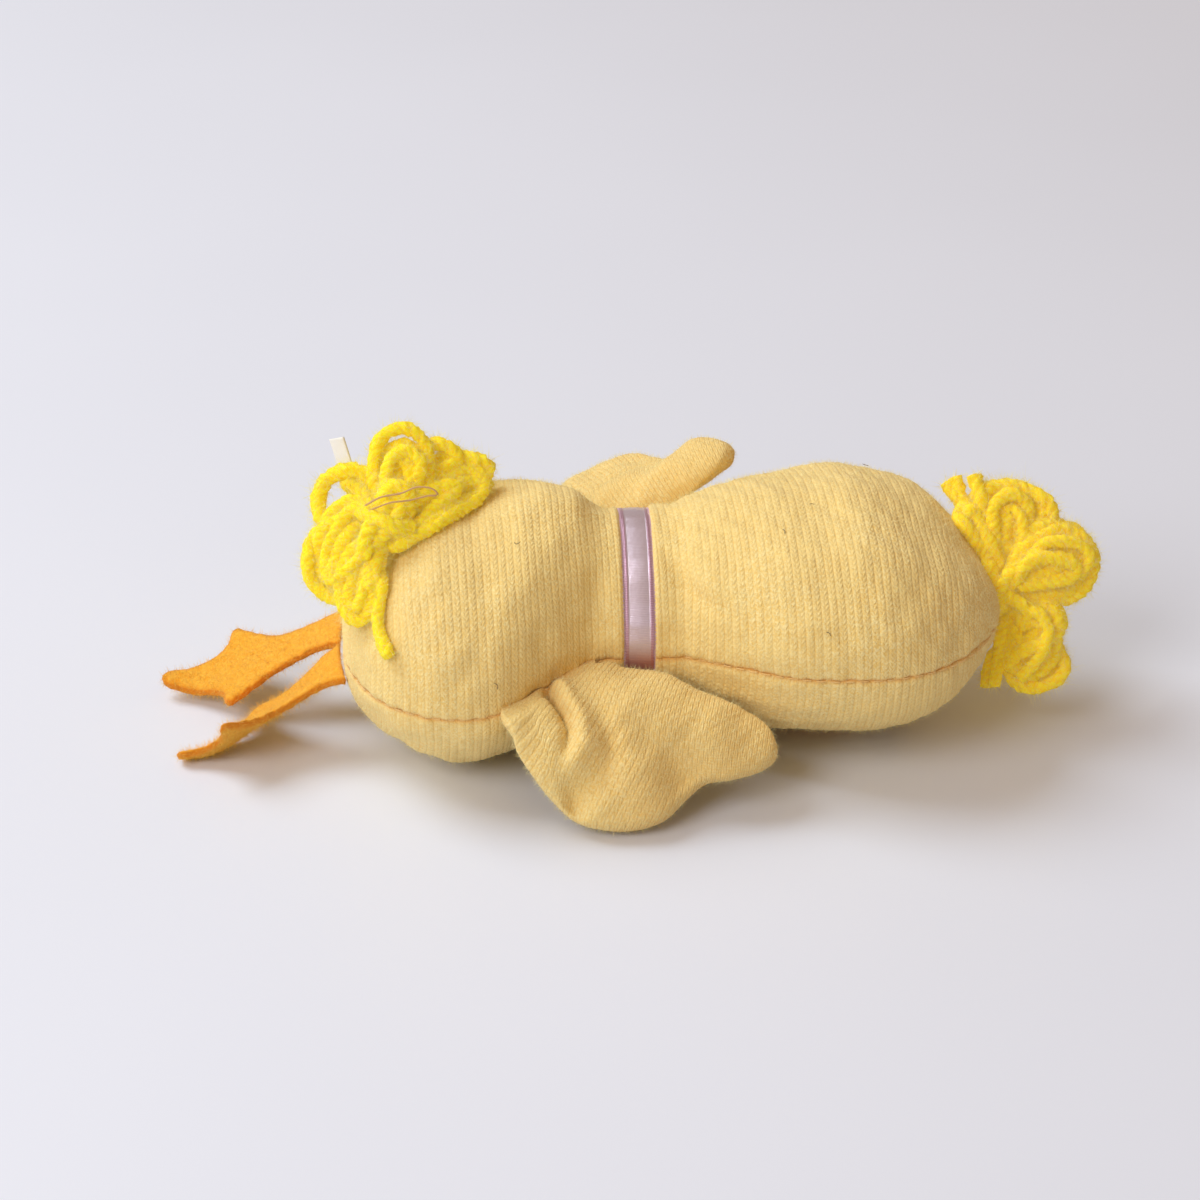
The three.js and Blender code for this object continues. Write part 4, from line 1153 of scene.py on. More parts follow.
def wing(name, side, lift, folds, seed):
    """One wing: an upper and a lower layer with their nap, and the pad between them."""
    u, v = np.meshgrid(np.linspace(0, 1, WING_COLUMNS), np.linspace(0, 1, WING_ROWS), indexing="ij")
    root = np.stack([mix(-root_half, root_half, u), 0 * u, 0 * u], -1)
    rim = curve_through(wing_rim, u)
    flat = mix(root, rim, v[..., None])
    ridge = np.sin(np.pi * v)
    arched = flat + np.stack([0 * u, 0 * u, WING_CROWN * ridge * np.sin(np.pi * u)], -1)
    placed = root_middle + swung(arched, lift, 1, 2) @ np.array([along_root, out_of_root, up_from_root])
    # the sewn edge, from the bottom of the seam out to the root
    sewn = seam_point(mix(WING_BACK_X, WING_FRONT_X, u[:, :1]), -0.3)
    share = np.linspace(0, 1, FLANGE_ROWS)[:-1, None]
    placed = np.concatenate([mix(sewn, placed[:, :1], share), placed], 1)
    placed[..., 1] *= side
    none = np.zeros((WING_COLUMNS, FLANGE_ROWS - 1))
    out = np.concatenate([none + mix(-FLANGE_ROWS * FLANGE_STEP, 0, share[:, 0]), flat[..., 1]], 1)
    along = np.concatenate([none + flat[:, :1, 0], flat[..., 0]], 1)
    length = np.linalg.norm(rim - root, axis=-1)
    to_rim = np.concatenate([none + length[:, :1], (1 - v) * length], 1)
    from_root = np.concatenate([none, v * length], 1)
    from_sewn = np.concatenate([none + share[:, 0] * WING_STANDOFF, v * length + WING_STANDOFF], 1)

    puff = np.concatenate([none, WING_PAD * np.sin(np.pi * u) ** 0.6 * ridge ** 0.6], 1)
    edge_round = np.sqrt(1 - (1 - np.clip(to_rim / EDGE_ROUND, 0, 1)) ** 2)
    half = (CLOTH + WING_GAP) * edge_round * mix(ROOT_SHARE, 1, smooth(from_root / EDGE_ROUND)) + puff
    half = np.maximum(half, LEAST_HALF)
    normals = grid_normals(placed, placed.mean((0, 1)) - (0, 0, 50))
    thick_way, fold_way = softened(normals, 16), softened(normals, 100)
    depth = valleys(np.stack([along, out], -1), folds) * smooth(to_rim / 1.8)
    depth -= 0.15 * waves(placed, 5, seed) * edge_round
    rim_drop = RIM_DROP * np.exp(-((to_rim / 0.8) ** 2)) * smooth(from_root / 2.0)
    shift = {"upper": -depth - rim_drop, "lower": -UNDER_SHARE * depth - rim_drop}
    ribs = (out + RIB_BOW * (along - RIB_TOP) ** 2) / RIB_SPACING
    weave = np.stack([ribs, along / COURSE], -1)
    grooves = (0.5 + 0.5 * np.cos(2 * np.pi * ribs)) * smooth((along + 3) / 4)
    # painted shade: deep along the sewn root, lighter along the rim, and between the ribs
    crease = 0.4 * np.exp(-from_sewn / 0.3) + 0.25 * np.exp(-to_rim / 0.25) + 0.3 * grooves
    nap = smooth((from_sewn - 0.2) / 0.5)
    pieces = []
    for layer, face in (("upper", 1), ("lower", -1)):
        relief = 0.03 * -np.cos(2 * np.pi * ribs) + 0.05 * waves(placed, 2.4, seed + 3 + face)
        rise = face * (half + relief * edge_round * smooth(from_sewn / 0.8))
        sink = shift[layer]
        if layer == "lower":
            sink = np.minimum(sink, half + shift["upper"] - np.maximum(0.05, 0.9 * half) - rise)
        folded = placed + fold_way * sink[..., None]
        outer = folded + thick_way * rise[..., None]
        thin = LAYER_SHARE * np.minimum(half, FULL_HALF)
        inside = (folded + thick_way * (rise - face * thin)[..., None])[::FINE, ::FINE]
        for surface in (outer, inside):
            surface[..., 2] = np.maximum(surface[..., 2], WING_FLOOR)
        piece = jersey(f"{name}_{layer}", outer, inside, weave, crease, nap)
        fuzz = fuzzed(f"{name}_{layer}_nap", piece, knit_fibre, seed + face, 1.8e7,
                      KNIT_FIBRE_LENGTH, KNIT_FIBRE_THICKNESS)
        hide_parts(f"{name}_{layer}_layer")
        pieces += [piece, fuzz]
    for piece in pieces:
        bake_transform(piece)

    # the pad: a thin sheet of the same fibre, kept off the sewn edges
    inner = (slice(28, 133, PAD_STEP), slice(FLANGE_ROWS + 19, FLANGE_ROWS + 92, PAD_STEP))
    thick = np.maximum(puff - 0.3, 0.02)[inner] * (0.75 + 0.2 * waves(placed, 3, seed + 9)[inner])
    taper_u, taper_v = (np.sin(np.pi * np.linspace(0, 1, n)) for n in thick.shape)
    thick = thick * (0.25 + 0.75 * np.sqrt(taper_u[:, None] * taper_v[None, :]))
    middle = placed[inner] + fold_way[inner] * (0.5 * (shift["upper"] + shift["lower"]))[inner][..., None]
    reach = thick_way[inner] * (0.7 * thick)[..., None]
    pad = make_piece(f"{name}_pad", *between_sheets(middle + reach, middle - reach), stuffing)
    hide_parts(f"{name}_padding")
    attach(pad, name)


wing("right_wing", 1, 0.0, RIGHT_FOLDS, 51)
wing("left_wing", -1, LEFT_WING_LIFT, LEFT_FOLDS, 67)


# Feet
# Each foot is one piece of the orange felt, cut by hand to three toes with webs between. Its narrow end is
# sewn into the rump, and it bends down over its own length until the toes reach the floor.
FOOT_LENGTH, FOOT_SPREAD, FOOT_WAIST, FOOT_ROOT = 20.5, 12.0, 5.0, 7.4
SIDE_TOE, WEB, TOE_ROUND, FOOT_APART, FOOT_ROOT_HEIGHT = 12.9, 13.1, 0.9, 7.8, 9.2
FOOT_STANDOFF = FELT / 2 + 0.3
LEFT_FOOT = {
    "yaw": 6, "roll": 9.5, "cup": 0.4, "toe_height": 1.2, "reach": 1.03, "skew": 0.0, "lift": 0.0}
RIGHT_FOOT = {
    "yaw": 13.5, "roll": 15.4, "cup": 0.8, "toe_height": 0.0, "reach": 0.91, "skew": 1.35, "lift": 2.0}


def bezier(points, steps):
    """Points along a Bezier curve, without its last one."""
    points = np.asarray(points, float)
    t = np.linspace(0, 1, steps, endpoint=False)[:, None]
    order = len(points) - 1
    return sum(math.comb(order, k) * (1 - t) ** (order - k) * t ** k * p for k, p in enumerate(points))


def foot_outline():
    """The foot laid flat, from the middle of its sewn end round the toes and back."""
    root, waist, spread = FOOT_ROOT / 2, FOOT_WAIST / 2, FOOT_SPREAD / 2
    corner, ankle, knuckle = SIDE_TOE - TOE_ROUND, 0.4 * SIDE_TOE, 0.62 * SIDE_TOE
    middle = FOOT_LENGTH - TOE_ROUND
    half = np.concatenate([
        bezier([(0, -root), (ankle / 2, -waist), (ankle, -waist), (knuckle, -waist - TOE_ROUND)], 20),
        bezier([(knuckle, -waist - TOE_ROUND), (corner, -spread)], 14),
        bezier([(corner, -spread), (SIDE_TOE, -spread), (SIDE_TOE, TOE_ROUND - spread)], 6),
        bezier([(SIDE_TOE, TOE_ROUND - spread), (WEB, -waist), (middle, -TOE_ROUND)], 26),
        bezier([(middle, -TOE_ROUND), (FOOT_LENGTH, -TOE_ROUND * 0.6), (FOOT_LENGTH, 0)], 5),
    ])
    mirrored = half[::-1] * (1, -1)
    outline = np.concatenate([half, [(FOOT_LENGTH, 0)], mirrored])
    root_row = np.stack([np.zeros(16), np.linspace(root, -root, 18)[1:-1]], -1)
    return np.concatenate([outline, root_row])


def rump_at(y, z):
    """Where the rump's skin is crossed, going forward at y and z."""
    outside, inside = np.full(np.shape(y), -RUMP_LENGTH), np.zeros(np.shape(y))
    for _ in range(30):
        x = (outside + inside) / 2
        width, rise, drop, seam_height = section(x)
        tall = np.where(z < seam_height, drop, rise)
        within = (y / np.maximum(width, 1e-6)) ** 2 + ((z - seam_height) / np.maximum(tall, 1e-6)) ** 2 < 1
        inside, outside = np.where(within, x, inside), np.where(within, outside, x)
    return inside


for name, side, pose, seed in (("left_foot", 1, LEFT_FOOT, 81), ("right_foot", -1, RIGHT_FOOT, 83)):
    fall = FOOT_ROOT_HEIGHT - pose["toe_height"] - FELT / 2
    slope = math.asin(fall / FOOT_LENGTH)
    centre = FOOT_APART / 2

    def set_foot(a, b, up, side=side, pose=pose, fall=fall, slope=slope, centre=centre):
        along = a * math.cos(slope)
        free = np.clip(a / (FOOT_LENGTH * 0.6), 0, 1)
        beside = 2 * b / FOOT_SPREAD
        root = mix(rump_at(centre + b, FOOT_ROOT_HEIGHT), rump_at(centre + 0 * b, FOOT_ROOT_HEIGHT), free)
        bend = fall * np.sin(np.pi / 2 * np.clip(a / FOOT_LENGTH, 0, 1)) ** 1.1
        lean = b * math.sin(math.radians(pose["roll"])) + pose["cup"] * beside ** 2
        lean = free * (lean + pose["lift"] * np.clip(beside, 0, 1))
        settle = 0.25 * waves(np.stack([a, b, 0 * a], -1), 8, 91) * free
        x = root - FOOT_STANDOFF - along * pose["reach"] - pose["skew"] * free * beside
        x += 0.45 * (1 - smooth(a / 2))
        y = side * (centre + b + along * math.tan(math.radians(pose["yaw"])))
        z = FOOT_ROOT_HEIGHT - bend + lean + settle + up
        return np.stack([x, y, np.maximum(z, FLOOR_CLEAR)], -1)

    pieces = felt_piece(name + "_felt", foot_outline(), set_foot, seed)
    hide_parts(name)
    for piece in pieces:
        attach(piece, name)


# Yarn tufts
# Thick, loosely spun yellow yarn is wound into loops, tied in the middle and sewn down, at the tail and on
# the crown. The strands show their plies, and loose fibre stands off them all over.
YARN_RADIUS = 0.78
YARN_PITCH = 2.9
YARN_PLIES = 3
YARN_FIBRE = {"density": 1.35e7, "length": 0.75, "thickness": 0.018}
YARN_HALO = {"density": 2.5e6, "length": 1.5, "thickness": 0.014, "segments": 3}
STRAND_APART = 1.2
STRAND_STEP = 0.3
PLY_GROOVE = 0.13            # share of the radius
YARN_UNEVEN = 0.15
TIP = 0.15                   # how far a strand's end bulges out
TUFT_FLOOR = 0.03
OPEN_END = 6                 # a bundle whose last place lies further out than this is cut, not looped back
FAN_LEAN = math.radians(29)  # a tuft is spread like a fan in a plane that leans back this far


def clear_of_skin(points, room):
    """Push points out of the skin until there is room between."""
    x, y, z = points.T
    width, rise, drop, seam_height = section(np.clip(x, -RUMP_LENGTH + 0.05, HEAD_X + CROWN_LENGTH - 0.05))
    tall = np.where(z < seam_height, drop, rise) + room
    width = width + room
    depth = np.sqrt((y / width) ** 2 + ((z - seam_height) / tall) ** 2)
    inside = (x > -RUMP_LENGTH - room) & (x < HEAD_X + CROWN_LENGTH + room)
    push = np.where(inside & (depth < 1), 1 / np.maximum(depth, 0.05), 1.0)
    return np.stack([x, y * push, seam_height + (z - seam_height) * push], -1)


def strand(path, radius, pitch=YARN_PITCH, plies=YARN_PLIES, sides=12, flare=0.0):
    """Twisted strand of plies along a path of points, closed at both ends."""
    path = np.asarray(path, float)
    run = np.concatenate([[0], np.cumsum(np.linalg.norm(np.diff(path, axis=0), axis=1))])
    even = np.linspace(0, run[-1], max(8, int(run[-1] / STRAND_STEP)))
    centre = np.stack([np.interp(even, run, path[:, k]) for k in range(3)], -1)
    tangent = np.gradient(centre, axis=0)
    tangent /= np.linalg.norm(tangent, axis=1, keepdims=True)
    normal = np.cross(tangent[0], (0.3, 0.5, 0.81))
    normals = []
    for direction in tangent:
        normal = normal - direction * (normal @ direction)
        normal = normal / np.linalg.norm(normal)
        normals.append(normal)
    normals = np.array(normals)
    sideways = np.cross(tangent, normals)
    angle = np.linspace(0, 2 * np.pi, sides + 1)
    s, theta = np.meshgrid(even, angle, indexing="ij")
    phase = theta - 2 * np.pi * s / pitch
    lobes = 1 - PLY_GROOVE * (1 - np.abs(np.cos(plies * phase / 2)) ** 0.9)
    near_end = 1 - np.clip((run[-1] - s) / 1.2, 0, 1)
    r = radius * lobes * (1 + 0.06 * np.sin(s * 1.7)) * (1 + flare * near_end)
    ring = normals[:, None] * np.cos(theta)[..., None] + sideways[:, None] * np.sin(theta)[..., None]
    points = centre[:, None] + ring * r[..., None]
    points += ring * (YARN_UNEVEN * radius * waves(points, 0.8 * radius, 17))[..., None]
    tips = [
        np.broadcast_to(centre[row] + beyond * tangent[row], (1, sides + 1, 3))
        for row, beyond in ((0, -TIP), (-1, TIP))
    ]
    points = np.concatenate([tips[0], points, tips[1]])
    lengths = np.concatenate([even[:1], even, even[-1:]])
    along, around = np.meshgrid(lengths, angle, indexing="ij")
    weave = np.stack([along, around - 2 * np.pi * along / pitch], -1)
    return points.reshape(-1, 3), grid_triangles(len(lengths), sides + 1), weave.reshape(-1, 2)


def yarn_material(name, light, mid, deep):
    """Spun wool: streaks of fibre that follow the twist, paler where loose, with painted shade between the
    plies and a faint painted glow.
    """
    material, tree, shader = new_material(
        name, Roughness=0.9, Specular_IOR_Level=0.1, Emission_Strength=0.14,
        Sheen_Weight=0.5, Sheen_Roughness=0.5, Sheen_Tint=tint(255, 240, 90))
    along, around, _ = parts_of(tree, weave_place(tree))
    stretched = vector_of(
        tree, calc(tree, "MULTIPLY", along, 0.5), calc(tree, "COSINE", around), calc(tree, "SINE", around))
    streak = noise(tree, stretched, 9, Detail=3)
    ply = calc(tree, "ABSOLUTE", calc(tree, "COSINE", calc(tree, "MULTIPLY", around, YARN_PLIES / 2)))
    grain = mottled(tree, light, mid, deep, 1700.0)
    # painted shade between the plies
    painted_ply_shade = calc(tree, "MULTIPLY", ranged(tree, ply, 0.0, 0.7, 0.7, 0.0), 0.5)
    streaked = blended(tree, ranged(tree, streak, 0.4, 0.65), grain["Color"], light)
    spun = blended(tree, painted_ply_shade, streaked, deep)
    height = calc(tree, "MULTIPLY_ADD", streak, 0.8, grain["Height"])
    covered(tree, shader, spun, height, 0.5, 0.05 * MM)
    # painted glow: the yarn gives off a little light of its own colour, standing in for light that passes
    # through loose fibre
    tree.links.new(spun, shader.inputs["Emission Color"])
    return material


def fan_out(root, places):
    """Points in space of places in a tuft's fan, given as right, up and toward its front."""
    right, up, front = np.asarray(places, float).T
    lean_cos, lean_sin = math.cos(FAN_LEAN), math.sin(FAN_LEAN)
    return np.stack([right, lean_sin * up - lean_cos * front, lean_cos * up + lean_sin * front], -1) + root


def tuft(name, node, body, root, bundles, yarn, fuzz_material, seed):
    """Bundles of parallel strands, each given by its number of strands and the places it goes through."""
    parts, weaves = [], []
    draw = np.random.default_rng(seed)
    front = fan_out((0, 0, 0), [(0, 0, 1)])[0]
    for number, (count, *places) in enumerate(bundles):
        path = curve_through(fan_out(root, places), np.linspace(0, 1, 36 * len(places)))
        t = np.linspace(0, 1, len(path))[:, None]
        beside = np.cross(np.gradient(path, axis=0), front)
        beside /= np.maximum(np.linalg.norm(beside, axis=1, keepdims=True), 1e-9)
        cut = np.linalg.norm(places[-1]) > OPEN_END
        spread = np.sin(np.pi * np.clip(t, 0, 0.5 if cut else 1)) ** 0.6
        first = draw.uniform(0, 2 * np.pi)
        for k in range(count):
            about = first + 2 * np.pi * (k / count + 0.35 * t)
            room = 0 if count == 1 else STRAND_APART / (2 * math.sin(math.pi / count))
            bow = np.stack([waves(path, 7, 50 * seed + 9 * number + 3 * k + axis) for axis in range(3)], -1)
            line = path + spread * (room * (beside * np.cos(about) + front * np.sin(about)) + 0.45 * bow)
            radius = YARN_RADIUS * draw.uniform(0.85, 1.1)
            pitch = YARN_PITCH * draw.uniform(0.85, 1.25)
            points, faces, weave = strand(clear_of_skin(line, radius + 0.15), radius, pitch, flare=0.06 * cut)
            parts.append((points, faces))
            weaves.append(weave)
    points, faces = joined(parts)
    points[:, 2] = np.maximum(points[:, 2], TUFT_FLOOR)
    piece = make_piece(name, points, faces, yarn, np.concatenate(weaves), nap=np.ones(len(points)))
    fuzz = fuzzed(name + "_fuzz", piece, fuzz_material, seed, **YARN_FIBRE)
    halo = fuzzed(name + "_halo", piece, fuzz_material, seed + 1, **YARN_HALO)
    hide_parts(node)
    for part in (piece, fuzz, halo):
        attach(part, body)


TAIL_ROOT = (-8.2, -1.5, 24.9)
TAIL_BUNDLES = [
    (1, (0, 0, 0), (-1.2, 3.4, 0.5), (-3.4, 5.6, 0), (-5.6, 5.0, -0.5), (-6.7, 2.8, -0.5), (-6.6, 0.4, 0.5),
     (-4.6, -1.4, 1.5), (0, -0.6, 1)),
    (2, (0, 0, 0), (-1.1, 3.4, 0.6), (-0.9, 6.4, 0.8), (0.4, 8.3, 0.6), (2.2, 8.8, 0.2), (3.7, 7.5, 0.2),
     (4.0, 5.0, 0.8), (2.8, 2.0, 1.2), (0.6, 0, 0.8)),
    (2, (0, 0, 0.5), (0.2, 3.2, 1.4), (1.0, 6.2, 1.6), (2.0, 7.0, 1.4), (2.8, 5.8, 1.6), (2.4, 2.6, 1.8),
     (0.8, 0, 1.2)),
    (1, (1, 1, -1), (3.4, 5.2, -1.2), (4.6, 7.4, -1.2), (6.2, 7.9, -1.4), (7.2, 6.6, -1.2), (5.2, 4.8, -0.6),
     (2.4, 2.2, -0.4)),
    (1, (1, 0.5, -1.5), (5.0, 5.2, -1.8), (7.4, 7.0, -2), (9.6, 6.7, -2.2), (10.5, 5.2, -2.2),
     (8.6, 4.0, -1.6), (4.4, 2.2, -0.8)),
    (2, (0, -0.4, 1), (3.2, 2.2, 0.8), (6.4, 4.6, -0.4), (9.0, 5.3, -1.8), (10.5, 3.8, -2.4),
     (9.4, 2.2, -1.2), (6.2, 0.6, 2.2), (3.2, -1.6, 3.8), (0.8, -2.8, 3.8), (-0.4, -1.8, 2.2)),
    (1, (0, 0, 1.4), (3.0, 1.0, 1.6), (6.0, 2.9, 0.6), (8.8, 4.1, -0.8), (9.8, 3.4, -1.2), (8.2, 2.2, -0.2),
     (5.0, 0.2, 1.8), (1.6, -2, 3)),
    (1, (0, 0, 2), (2.8, 1.6, 2.2), (5.4, 3.2, 1.4), (6.8, 3.2, 0.8), (5.8, 1.4, 1.8), (3.0, -0.8, 2.8),
     (0, -1.6, 2.6)),
    (2, (0, 0, 2), (-3.0, 0.6, 1.8), (-5.2, -1.4, 2.0), (-6.2, -4.4, 2.4), (-5.4, -6.2, 3), (-3.6, -5.0, 3.6),
     (-1.2, -2, 3)),
    (3, (0, 0, 1), (-3.2, 0.8, 1), (-6.0, -0.8, 1.2), (-7.3, -3.6, 1.6), (-7.0, -6.4, 2.2), (-5.2, -7.7, 2.8),
     (-3.4, -6.2, 3.2), (-1.4, -2.8, 3)),
    (2, (0, 0, 1.5), (-2.6, -0.6, 2), (-5.0, -2.6, 2.4), (-5.8, -5.2, 2.8), (-4.6, -7.4, 3.2),
     (-2.8, -6.8, 4.0), (-1.0, -3.4, 3.4)),
    (3, (0, -0.5, 2), (-2.0, -2.6, 3.0), (-3.8, -5.6, 3.6), (-4.2, -8.2, 4.0), (-3.0, -9.3, 4.6),
     (-1.8, -8.0, 5.0), (-1.2, -4.6, 4.0), (0, -1, 2.4)),
    (2, (0, 0, 2), (-1.6, 1.4, 2.0), (-4.0, 1.6, 1.6), (-5.6, -0.2, 1.8), (-4.6, -2.4, 2.4), (-2.0, -2.2, 3),
     (0, -0.6, 2.4)),
    (2, (0, 0, 2), (-0.6, 1.8, 2.8), (0.8, 3.8, 3), (2.4, 3.2, 3), (2.2, 0.8, 3), (0.6, -0.6, 2.6)),
    (1, (-0.4, -2.0, 3), (-0.8, -4.6, 4), (-1.0, -8, 5.9), (-0.5, -11.2, 7.0), (0, -13.7, 7.8)),
    (1, (-0.2, -1.8, 3), (-1.6, -4.8, 4), (-2.0, -7.4, 5.4)),
    (2, (-2.6, 1.0, 3.0), (-0.8, 0.5, 4.3), (1.2, -0.8, 4.5), (3.0, -1.0, 3.8)),
    (2, (1.8, 2.4, 2.8), (0.4, 0.6, 4.4), (-1.2, -1.6, 4.8), (-2.0, -3.4, 4.4)),
    (2, (0, 0, -1), (-2, 3, -3), (-3.4, 4.4, -5), (-1, 4.8, -6.4), (1.6, 4.2, -5.6), (1.2, 1.6, -3)),
    (2, (0, 0, -1), (3, 2.2, -3.4), (6, 3.4, -5.6), (5.4, 3.0, -7.6), (2.6, 1.0, -6.4), (0.6, 0.2, -3)),
]
CROWN_BUNDLES = [
    (3, (0, 0, 0), (-2.2, 4.4, 0), (-2.6, 8.0, 0.4), (-1.6, 10.4, 0.2), (0.6, 11.2, 0), (2.9, 10.6, -0.2),
     (4.4, 9.0, 0), (4.7, 7.2, 0.4), (3.3, 4.4, 0.8), (0.6, 1.2, 0.6)),
    (3, (0, 0, 1), (-0.8, 5.0, 1.2), (-0.4, 8.6, 1.2), (0.8, 9.6, 1.0), (1.9, 8.6, 1.2), (2.0, 6.0, 1.6),
     (0.9, 2.4, 1.4)),
    (2, (0, 0, 0.5), (-2.6, 3.4, 1.2), (-4.6, 6.0, 1.6), (-5.0, 8.0, 1.2), (-4.2, 9.2, 0.8), (-2.8, 8.0, 1.2),
     (-1.6, 4.6, 1.6), (0, 1, 1)),
    (1, (0, 0.5, 0), (-1.4, 4.4, 0.2), (-2.8, 8.2, 0.2), (-4.4, 10.6, 0), (-5.8, 12.0, -0.2)),
    (1, (0, 0.5, 0.4), (-1.2, 4.8, 1), (-2.2, 9.0, 1), (-2.8, 11.2, 0.8), (-3.3, 12.8, 0.6)),
    (1, (0, 0.5, 0), (-1.8, 4.6, -0.4), (-3.4, 9.0, -0.4), (-4.3, 11.3, -0.6), (-4.9, 12.5, -0.8)),
    (3, (0, 0.6, 1), (1.4, 4.2, 1.4), (4.0, 6.3, 1.4), (6.6, 6.4, 1.0), (8.5, 5.1, 0.8), (9.3, 3.2, 0.6),
     (8.9, 1.2, 0.8), (7.1, -0.3, 1.0), (4.0, -0.6, 1.4), (0.6, 0, 1.2)),
    (3, (0, 0.6, 1.6), (1.6, 3.4, 2.4), (4.2, 5.2, 2.4), (6.8, 5.2, 2.2), (8.2, 3.8, 1.8), (7.8, 2.0, 1.8),
     (5.4, 1.0, 2.2), (1.8, 0.6, 2)),
    (2, (0, 0.4, 2), (1.8, 2.4, 3.0), (4.0, 3.6, 3.2), (6.0, 3.4, 3.0), (6.8, 2.4, 2.6), (4.8, 1.4, 2.8),
     (1.4, 0.6, 2.4)),
    (2, (0, 0, 1), (0.8, -2.4, 1.2), (3.0, -2.4, 1.6), (4.8, -2.8, 1.8), (5.3, -4.4, 1.8), (4.8, -6.4, 1.8),
     (3.4, -7.8, 1.6), (1.6, -8.6, 1.4), (0.2, -6.4, 1.4), (0, -2, 1)),
    (2, (0, -0.6, 1), (1.6, -3.4, 1.6), (3.2, -4.2, 2.0), (3.4, -5.6, 2), (1.8, -6.2, 1.8), (0.2, -3.4, 1.4)),
    (2, (0, 0, 1.6), (2.2, -1.8, 2.4), (4.4, -2.4, 2.8), (4.8, -4.0, 2.8), (3.6, -5.4, 2.8), (2.0, -7.0, 2.4),
     (0.6, -8.6, 2.0)),
    (2, (0, 0, 0), (2.4, -3.6, 0), (5.2, -6.0, 0.2), (6.2, -8.0, 0.2), (5.3, -9.8, 0.4), (3.2, -10.5, 0.6),
     (1.2, -9.7, 0.6), (0.4, -6, 0.4), (0, -2, 0.2)),
    (2, (0, 0, 0.6), (0.2, -3.0, 1.0), (-0.4, -5.8, 1.0), (-1.4, -8.4, 0.9), (-2.0, -10.2, 0.8)),
    (2, (0, 0, 0.2), (0.2, 4.4, 0.4), (0.5, 7.4, 0.3), (1.3, 8.4, 0.2), (1.5, 6.5, 0.4), (0.6, 2.5, 0.4)),
    (2, (-2.0, 2.8, 1.2), (-0.8, 1.2, 2.4), (0.6, -0.4, 2.8), (1.6, -2.2, 2.4), (2.2, -4.0, 1.8)),
    (2, (-1.0, -1.8, 1.4), (0, 0.4, 2.8), (1.8, 2.2, 2.8), (3.4, 3.4, 2.2)),
    (2, (0, 0, -1), (1.6, 3.0, -3), (3.6, 4.4, -5), (5.8, 3.6, -5.8), (5.4, 1.4, -5), (2.0, 0.2, -3)),
    (2, (0, 0, -1), (1.4, -2.4, -3), (3.2, -4.6, -4.8), (5.0, -4.2, -5.2), (4.4, -1.8, -4.4),
     (1.2, -0.4, -2.4)),
]
tail_yarn = yarn_material("tail_yarn", tint(255, 244, 64), tint(255, 228, 22), tint(252, 186, 6))
hair_yarn = yarn_material("crown_yarn", tint(255, 238, 72), tint(255, 222, 32), tint(250, 182, 8))
tail_fuzz = fibre_material("tail_yarn_fibre", tint(255, 240, 84), 0.5, 0.5)
hair_fuzz = fibre_material("crown_yarn_fibre", tint(255, 234, 88), 0.5, 0.5)
HAIR_ROOT = (HEAD_X + CROWN_LENGTH + 1.0, 0, HEAD_SEAM)
for name, node, body, slot, root, bundles, yarn, fibres, seed in (
    ("tail_yarn_loops", "tail_tuft", "torso", "tail_yarn", TAIL_ROOT, TAIL_BUNDLES, tail_yarn, tail_fuzz, 7),
    ("crown_yarn_loops", "hair_tuft", "head", "hair_yarn", HAIR_ROOT, CROWN_BUNDLES, hair_yarn, hair_fuzz, 9),
):
    tuft(name, node, body, np.array(root), bundles, yarn, fibres, seed)


# Tape
# A short end of thin cream woven tape is caught under the tail. It is blank on both sides, and it stands up
# and leans back.
TAPE_LENGTH, TAPE_WIDTH, TAPE_THICKNESS = 11.4, 3.0, 0.3
TAPE_ROLL, TAPE_PITCH, TAPE_TWIST = math.radians(-22), math.radians(-14), math.radians(38)
TAPE_X, TAPE_Y = -11.2, 6.0
TAPE_WEFT_APART, TAPE_WARP_APART = 0.22, 0.2
tape_stuff, tape_tree, tape_shader = new_material("cream_tape", Roughness=0.55, Sheen_Weight=0.2)
across_tape, along_tape, _ = parts_of(tape_tree, weave_place(tape_tree))
tape_weft = threads(tape_tree, along_tape, TAPE_WEFT_APART)
tape_warp = threads(tape_tree, across_tape, TAPE_WARP_APART)
tape_height = calc(tape_tree, "MULTIPLY", tape_weft, tape_warp)
# painted shade: the cream is darker where the threads dip and paler where they rise
tape_risen = ranged(tape_tree, tape_height, -1, 1)
tape_colour = blended(tape_tree, tape_risen, tint(238, 236, 222), tint(250, 248, 238))
covered(tape_tree, tape_shader, tape_colour, tape_height, 0.4, 0.04 * MM)
tape_width_at, tape_rise_at, _, tape_seam_at = section(TAPE_X)
tape_root = np.array([
    TAPE_X, TAPE_Y, tape_seam_at + tape_rise_at * math.sqrt(1 - (TAPE_Y / tape_width_at) ** 2) + 0.2])
along, across = np.meshgrid(np.linspace(-0.02, 1, 61), np.linspace(-1, 1, 25), indexing="ij")
thick = TAPE_THICKNESS * (1 - 0.35 * across ** 6)
bow = 0.25 * np.sin(np.pi * along) + 0.1 * across ** 2
tape_layers = []
for up in (0.5, -0.5):
    layer = np.stack([up * thick + bow, across * TAPE_WIDTH / 2, along * TAPE_LENGTH], -1)
    for angle, first, second in ((TAPE_TWIST, 0, 1), (TAPE_ROLL, 1, 2), (TAPE_PITCH, 2, 0)):
        layer = swung(layer, angle, first, second)
    tape_layers.append(layer + tape_root)
tape_weave = np.stack([across * TAPE_WIDTH / 2, along * TAPE_LENGTH], -1).reshape(-1, 2)
tape = make_piece(
    "woven_tape", *between_sheets(*tape_layers), tape_stuff, np.concatenate([tape_weave, tape_weave]))
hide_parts("tail_tape")
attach(tape, "torso")


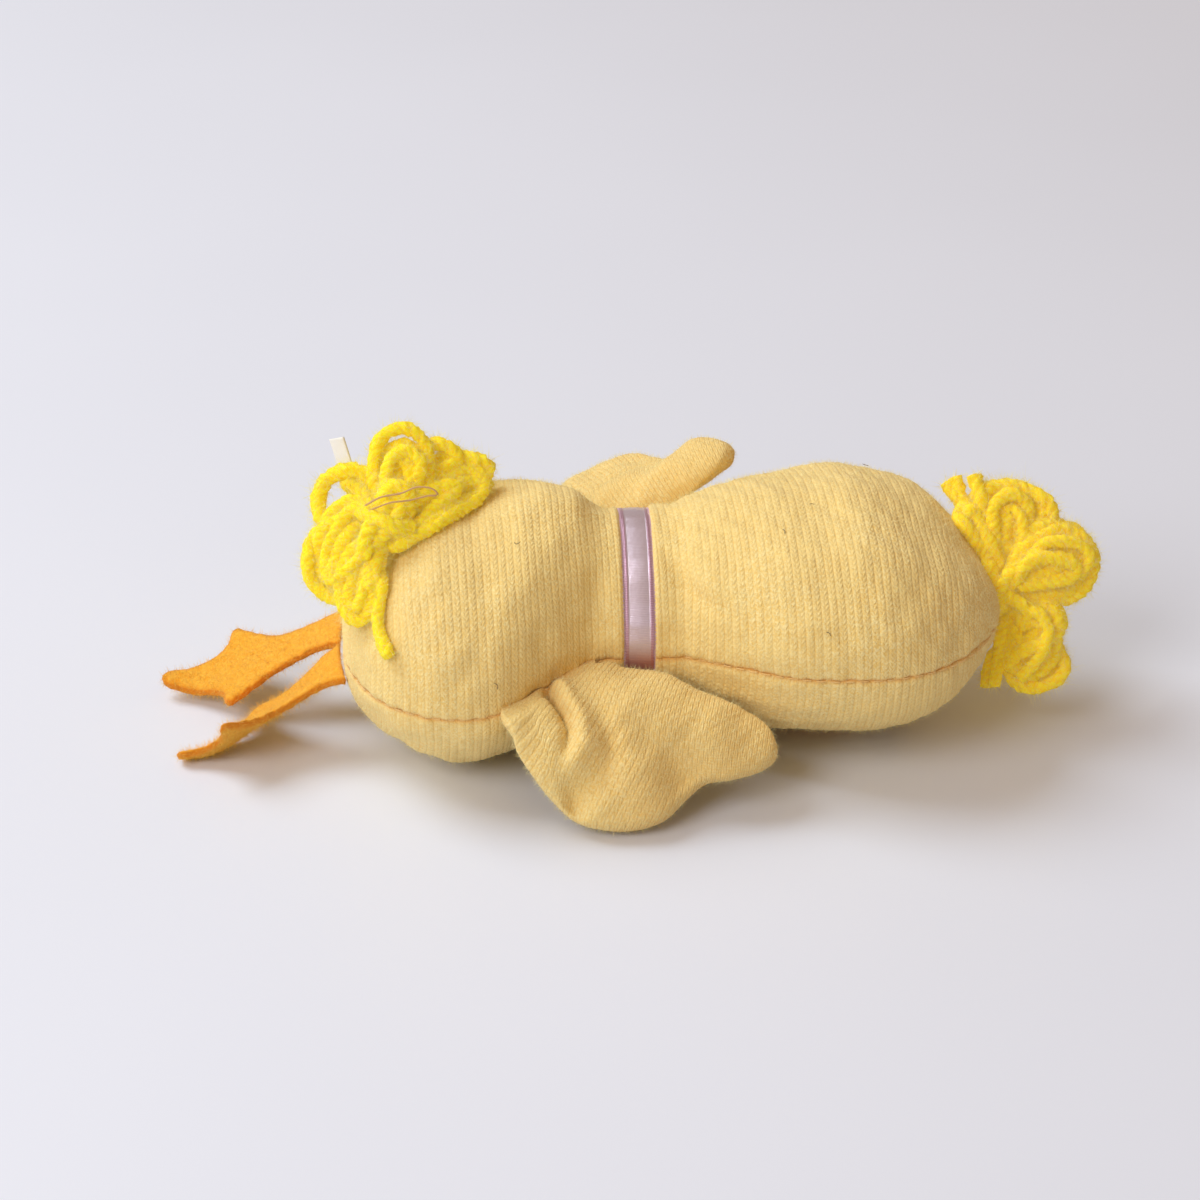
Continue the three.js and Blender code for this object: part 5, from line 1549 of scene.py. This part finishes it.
# Tie thread
# A tan thread that ties the tail stands up among its loops in a long hairpin.
TIE_RADIUS, TIE_PITCH = 0.1, 0.9
tan_thread = flecked(
    "tan_thread", weave_place, 6, tint(190, 140, 84), tint(226, 186, 130), Roughness=0.6, Sheen_Weight=0.2)
hairpin = np.array([
    (-2.0, -3.2, 3.6), (-0.4, -4.0, 4.9), (1.8, -3.9, 5.3), (3.4, -3.8, 5.9), (5.0, -3.9, 5.7),
    (5.5, -4.0, 5.1), (4.4, -4.1, 5.0), (2.6, -4.2, 4.6), (0.6, -4.3, 4.4), (-1.6, -3.6, 3.2),
]) + np.array(TAIL_ROOT)
points, faces, weave = strand(
    curve_through(hairpin, np.linspace(0, 1, 200)), TIE_RADIUS, TIE_PITCH, plies=2, sides=8)
tie = make_piece("tie_thread", points, faces, tan_thread, weave)
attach(tie, "torso")


# Lint
# A few short dark hairs have settled in the nap, each curled and lying on the cloth.
LINT_RADIUS = 0.035
LINT_OFF = 0.22  # how far it stands off the skin
lint_stuff = flecked("lint", weave_place, 3, tint(70, 50, 36), tint(128, 92, 60), Roughness=0.7)
lint_draw = np.random.default_rng(12)
# each hair as x, angle round the girth, length and heading
for body, hairs in (
    ("torso", [(2.9, 167, 0.8, 70), (5.4, 116, 0.6, 20), (-2.0, 60, 0.9, 100)]),
    ("head", [(33.1, 114, 0.5, 80), (36.4, 100, 0.4, 10), (36.9, 157, 0.5, 50), (44.0, 50, 1.0, 130)]),
):
    hair_parts, hair_weaves = [], []
    for hair_x, hair_angle, hair_length, heading in hairs:
        t = np.linspace(-0.5, 0.5, 9) * hair_length
        bow = 0.35 * hair_length * lint_draw.uniform(-1, 1) * (1 - (2 * t / hair_length) ** 2)
        turned = math.radians(heading)
        along_x = t * math.cos(turned) - bow * math.sin(turned)
        along_arc = t * math.sin(turned) + bow * math.cos(turned)
        reach = section(hair_x)[0]
        places = skin(hair_x + along_x, math.radians(hair_angle) + along_arc / reach, -LINT_OFF)
        points, faces, weave = strand(places, LINT_RADIUS, pitch=3.0, plies=1, sides=5)
        hair_parts.append((points, faces))
        hair_weaves.append(weave)
    lint = make_piece(f"{body}_lint", *joined(hair_parts), lint_stuff, np.concatenate(hair_weaves))
    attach(lint, body)
